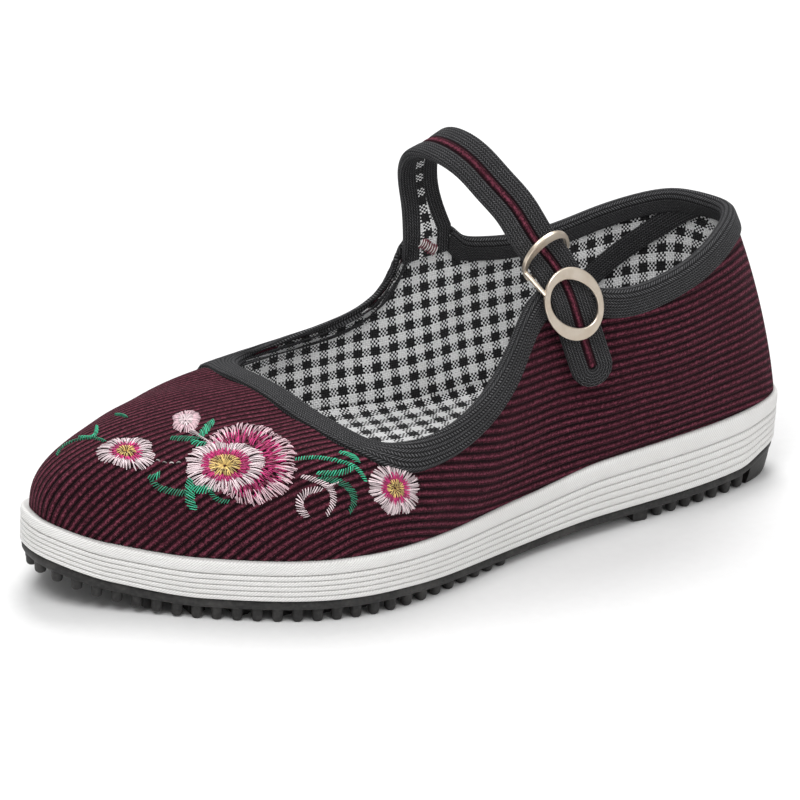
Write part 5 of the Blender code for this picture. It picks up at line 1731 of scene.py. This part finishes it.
def build_outsole():
    """Black rubber: a plate with a rolled edge, a solid heel back and bevelled bars."""
    def level(share):
        return lambda x: tread(station_of(x)) - OUTSOLE_PLATE * (1 - share)

    rings = [sole_ring(inset, level(share), PLATE_COLUMNS) for inset, share in PLATE_ROWS]
    piece = slab_piece("outsole_plate", np.array(rings), sharp=60)
    dress(piece, rubber, "dark_rubber", "outsole")

    heel_angle = float(np.arccos(2 * HEEL_SOLID_LENGTH / SHOE_LENGTH - 1))
    angles = np.linspace(heel_angle, 2 * pi - heel_angle, 61)
    loops = []
    for inset, share in HEEL_ROWS:
        flat = outline(angles, inset)
        top = plate_underside(flat[:, 0]) + HEEL_BITE
        loops.append(np.column_stack([flat, top * share]))
    piece = grid_piece("outsole_heel", np.array(loops), sharp=60)
    dress(piece, rubber, "dark_rubber")

    bars = [(HEEL_BLOCK_LENGTH - BAR_LUG_WIDTH / 2, HEEL_BAR_INSET)]
    for first, last in ((HEEL_SOLID_LENGTH, HEEL_BLOCK_LENGTH - BAR_LUG_PITCH),
                        (FOREFOOT_START, SHOE_LENGTH - 2 * BAR_LUG_PITCH)):
        x = first + BAR_LUG_PITCH
        while x < last:
            bars.append((x, BAR_INSET))
            x += BAR_LUG_PITCH
    verts = []
    faces = []
    for x, inset in bars:
        theta = float(np.arccos(2 * x / SHOE_LENGTH - 1))
        ends = (outline(2 * pi - theta, inset)[0, 1], outline(theta, inset)[0, 1])
        foot = float(lug_foot(x)[0])
        top = float(plate_underside(x)[0]) + BAR_BITE
        half = BAR_LUG_WIDTH / 2
        section = ((-half, top), (-half, foot + BAR_BEVEL), (BAR_BEVEL - half, foot),
                   (half - BAR_BEVEL, foot), (half, foot + BAR_BEVEL), (half, top))
        base = len(verts)
        for y in ends:
            verts += [(x + a, y, z) for a, z in section]
        for k in range(6):
            n = (k + 1) % 6
            faces.append((base + k, base + n, base + 6 + n, base + 6 + k))
        faces.append(tuple(base + k for k in range(5, -1, -1)))
        faces.append(tuple(base + 6 + k for k in range(6)))
    piece = new_piece("outsole_bars", verts, faces, sharp=30)
    dress(piece, rubber, "dark_rubber")


def stud_places():
    """Places and headings of the edge studs: one pitch round the forefoot and round the heel."""
    fine = np.linspace(0, 2 * pi, 1441)
    line = outline(fine, STUD_WIDTH * 0.5 + STUD_INSET)
    travelled = lengths_along(line)
    count = int(travelled[-1] / STUD_PITCH)
    for k in range(count):
        distance = (k + 0.5) * travelled[-1] / count
        spots = (distance - 0.001, distance, distance + 0.001)
        xs = np.interp(spots, travelled, line[:, 0])
        ys = np.interp(spots, travelled, line[:, 1])
        x = float(xs[1])
        on_heel = HEEL_SOLID_LENGTH + STUD_WIDTH < x < HEEL_BLOCK_LENGTH - STUD_WIDTH - BAR_LUG_WIDTH
        if on_heel or x > FOREFOOT_START:
            yield x, float(ys[1]), float(np.arctan2(ys[2] - ys[0], xs[2] - xs[0]))


def build_studs():
    """Round rubber studs with a rolled foot, all one model stud on the points of the edge."""
    rings = []
    for radius, height in STUD_PROFILE:
        a, b = oval(radius, radius, STUD_SIDES, 0.8)
        rings.append(np.column_stack([a, b, np.full(STUD_SIDES, height)]))
    # The model stud stands at the origin
    model = grid_piece("stud_model", np.array(rings) - SHIFT, sharp=50)
    spots = list(stud_places())
    xs = np.array([spot[0] for spot in spots])
    top = plate_underside(xs) + STUD_BITE
    foot = lug_foot(xs) + TOE_STUD_RISE * smooth_step(0.205, 0.245, xs)
    mesh = bpy.data.meshes.new("outsole_studs")
    mesh.from_pydata([tuple(np.array([x, y, z]) + SHIFT) for (x, y, turn), z in zip(spots, foot)], [], [])
    turns = np.array([(0.0, 0.0, turn) for x, y, turn in spots])
    sizes = np.ones((len(xs), 3))
    sizes[:, 2] = (top - foot) / STUD_WIDTH
    for name, values in (("turn", turns), ("size", sizes)):
        layer = mesh.attributes.new(name, "FLOAT_VECTOR", "POINT")
        layer.data.foreach_set("vector", values.astype(np.float32).ravel())
    piece = bpy.data.objects.new("outsole_studs", mesh)
    bpy.context.scene.collection.objects.link(piece)
    grow(piece, stud_tree(), {"Stud": model, "Stud Width": STUD_WIDTH, "Rubber": rubber})
    bpy.data.objects.remove(model)
    dress(piece, rubber, "dark_rubber")


def build_insole():
    """Sock lining with a rounded rim, lying on the sole inside the upper."""
    rings = []
    for inset, rise in SOCK_ROWS:
        flat = foot_line(sole_angles(SOCK_COLUMNS), WALL + INSOLE_MARGIN * 0.4 + inset)
        rings.append(np.column_stack([flat, feather(station_of(flat[:, 0])) + GAP + rise]))
    piece = slab_piece("sock_lining", np.array(rings), sharp=60)
    dress(piece, sock, "insole_cloth", "insole")


build_midsole()
build_outsole()
build_studs()
build_insole()


# Floor, light and camera

FLOOR_HALF = 3.0
WORLD_LIGHT = 0.42
LIGHT_AIM = (0.120, 0.0, 0.035)
# Soft lights: degrees round from the heel's side, degrees up, distance, width, power
LIGHTS = (
    ("key", 120, 58, 1.3, 0.7, 9.0),
    ("fill", 205, 38, 1.6, 1.4, 5.5),
    ("top", 335, 64, 1.5, 0.9, 15.0),
)
# The photo's camera, fitted to the outlines of the sole, the collar and the strap
CAMERA_ROUND = 149.40
CAMERA_UP = 23.76
CAMERA_ROLL = 3.41
CAMERA_DISTANCE = 1.301
CAMERA_LENS = 197.9
CAMERA_AIM = (0.11625, -0.0221, 0.030)


def away(around, raised):
    """Direction from the shoe to a light or camera, from its two angles in degrees."""
    a = radians(around)
    e = radians(raised)
    return np.array([sin(a) * cos(e), -cos(a) * cos(e), sin(e)])


def build_stage():
    """White board under the shoe, an even pale surround and three soft lights."""
    mesh = bpy.data.meshes.new("floor")
    corners = [(FLOOR_HALF * x, FLOOR_HALF * y, 0) for x, y in ((-1, -1), (1, -1), (1, 1), (-1, 1))]
    mesh.from_pydata(corners, [], [(0, 1, 2, 3)])
    floor = bpy.data.objects.new("floor", mesh)
    floor.data.materials.append(floor_material())
    bpy.context.scene.collection.objects.link(floor)

    world = bpy.data.worlds.new("studio")
    bpy.context.scene.world = world
    world.use_nodes = True
    background = world.node_tree.nodes["Background"]
    background.inputs["Color"].default_value = linear("#ffffff")
    background.inputs["Strength"].default_value = WORLD_LIGHT

    aim = Vector(LIGHT_AIM) + Vector(SHIFT)
    for name, around, raised, distance, size, power in LIGHTS:
        light = bpy.data.lights.new(name, "AREA")
        light.shape = "DISK"
        light.size = size
        light.energy = power
        lamp = bpy.data.objects.new(name, light)
        back = Vector(away(around, raised))
        lamp.location = aim + back * distance
        lamp.rotation_euler = (-back).to_track_quat("-Z", "Y").to_euler()
        bpy.context.scene.collection.objects.link(lamp)


def build_camera():
    """Camera at the photo's viewing angle, rolled as it was held."""
    roll = radians(CAMERA_ROLL)
    aim = np.array(CAMERA_AIM) + SHIFT
    back = away(CAMERA_ROUND, CAMERA_UP)
    right = unit(np.cross(-back, [0, 0, 1.0]))
    up = np.cross(right, -back)
    turned_right = right * cos(roll) + up * sin(roll)
    turned_up = -right * sin(roll) + up * cos(roll)
    data = bpy.data.cameras.new("camera")
    data.sensor_width = 36.0
    data.lens = CAMERA_LENS
    data.clip_end = 20.0
    camera = bpy.data.objects.new("camera", data)
    bpy.context.scene.collection.objects.link(camera)
    matrix = np.eye(4)
    matrix[:3, 0] = turned_right
    matrix[:3, 1] = turned_up
    matrix[:3, 2] = back
    matrix[:3, 3] = aim + back * CAMERA_DISTANCE
    camera.matrix_world = Matrix(matrix.tolist())
    bpy.context.scene.camera = camera


build_stage()
build_camera()
bpy.context.scene.view_settings.view_transform = "Standard"
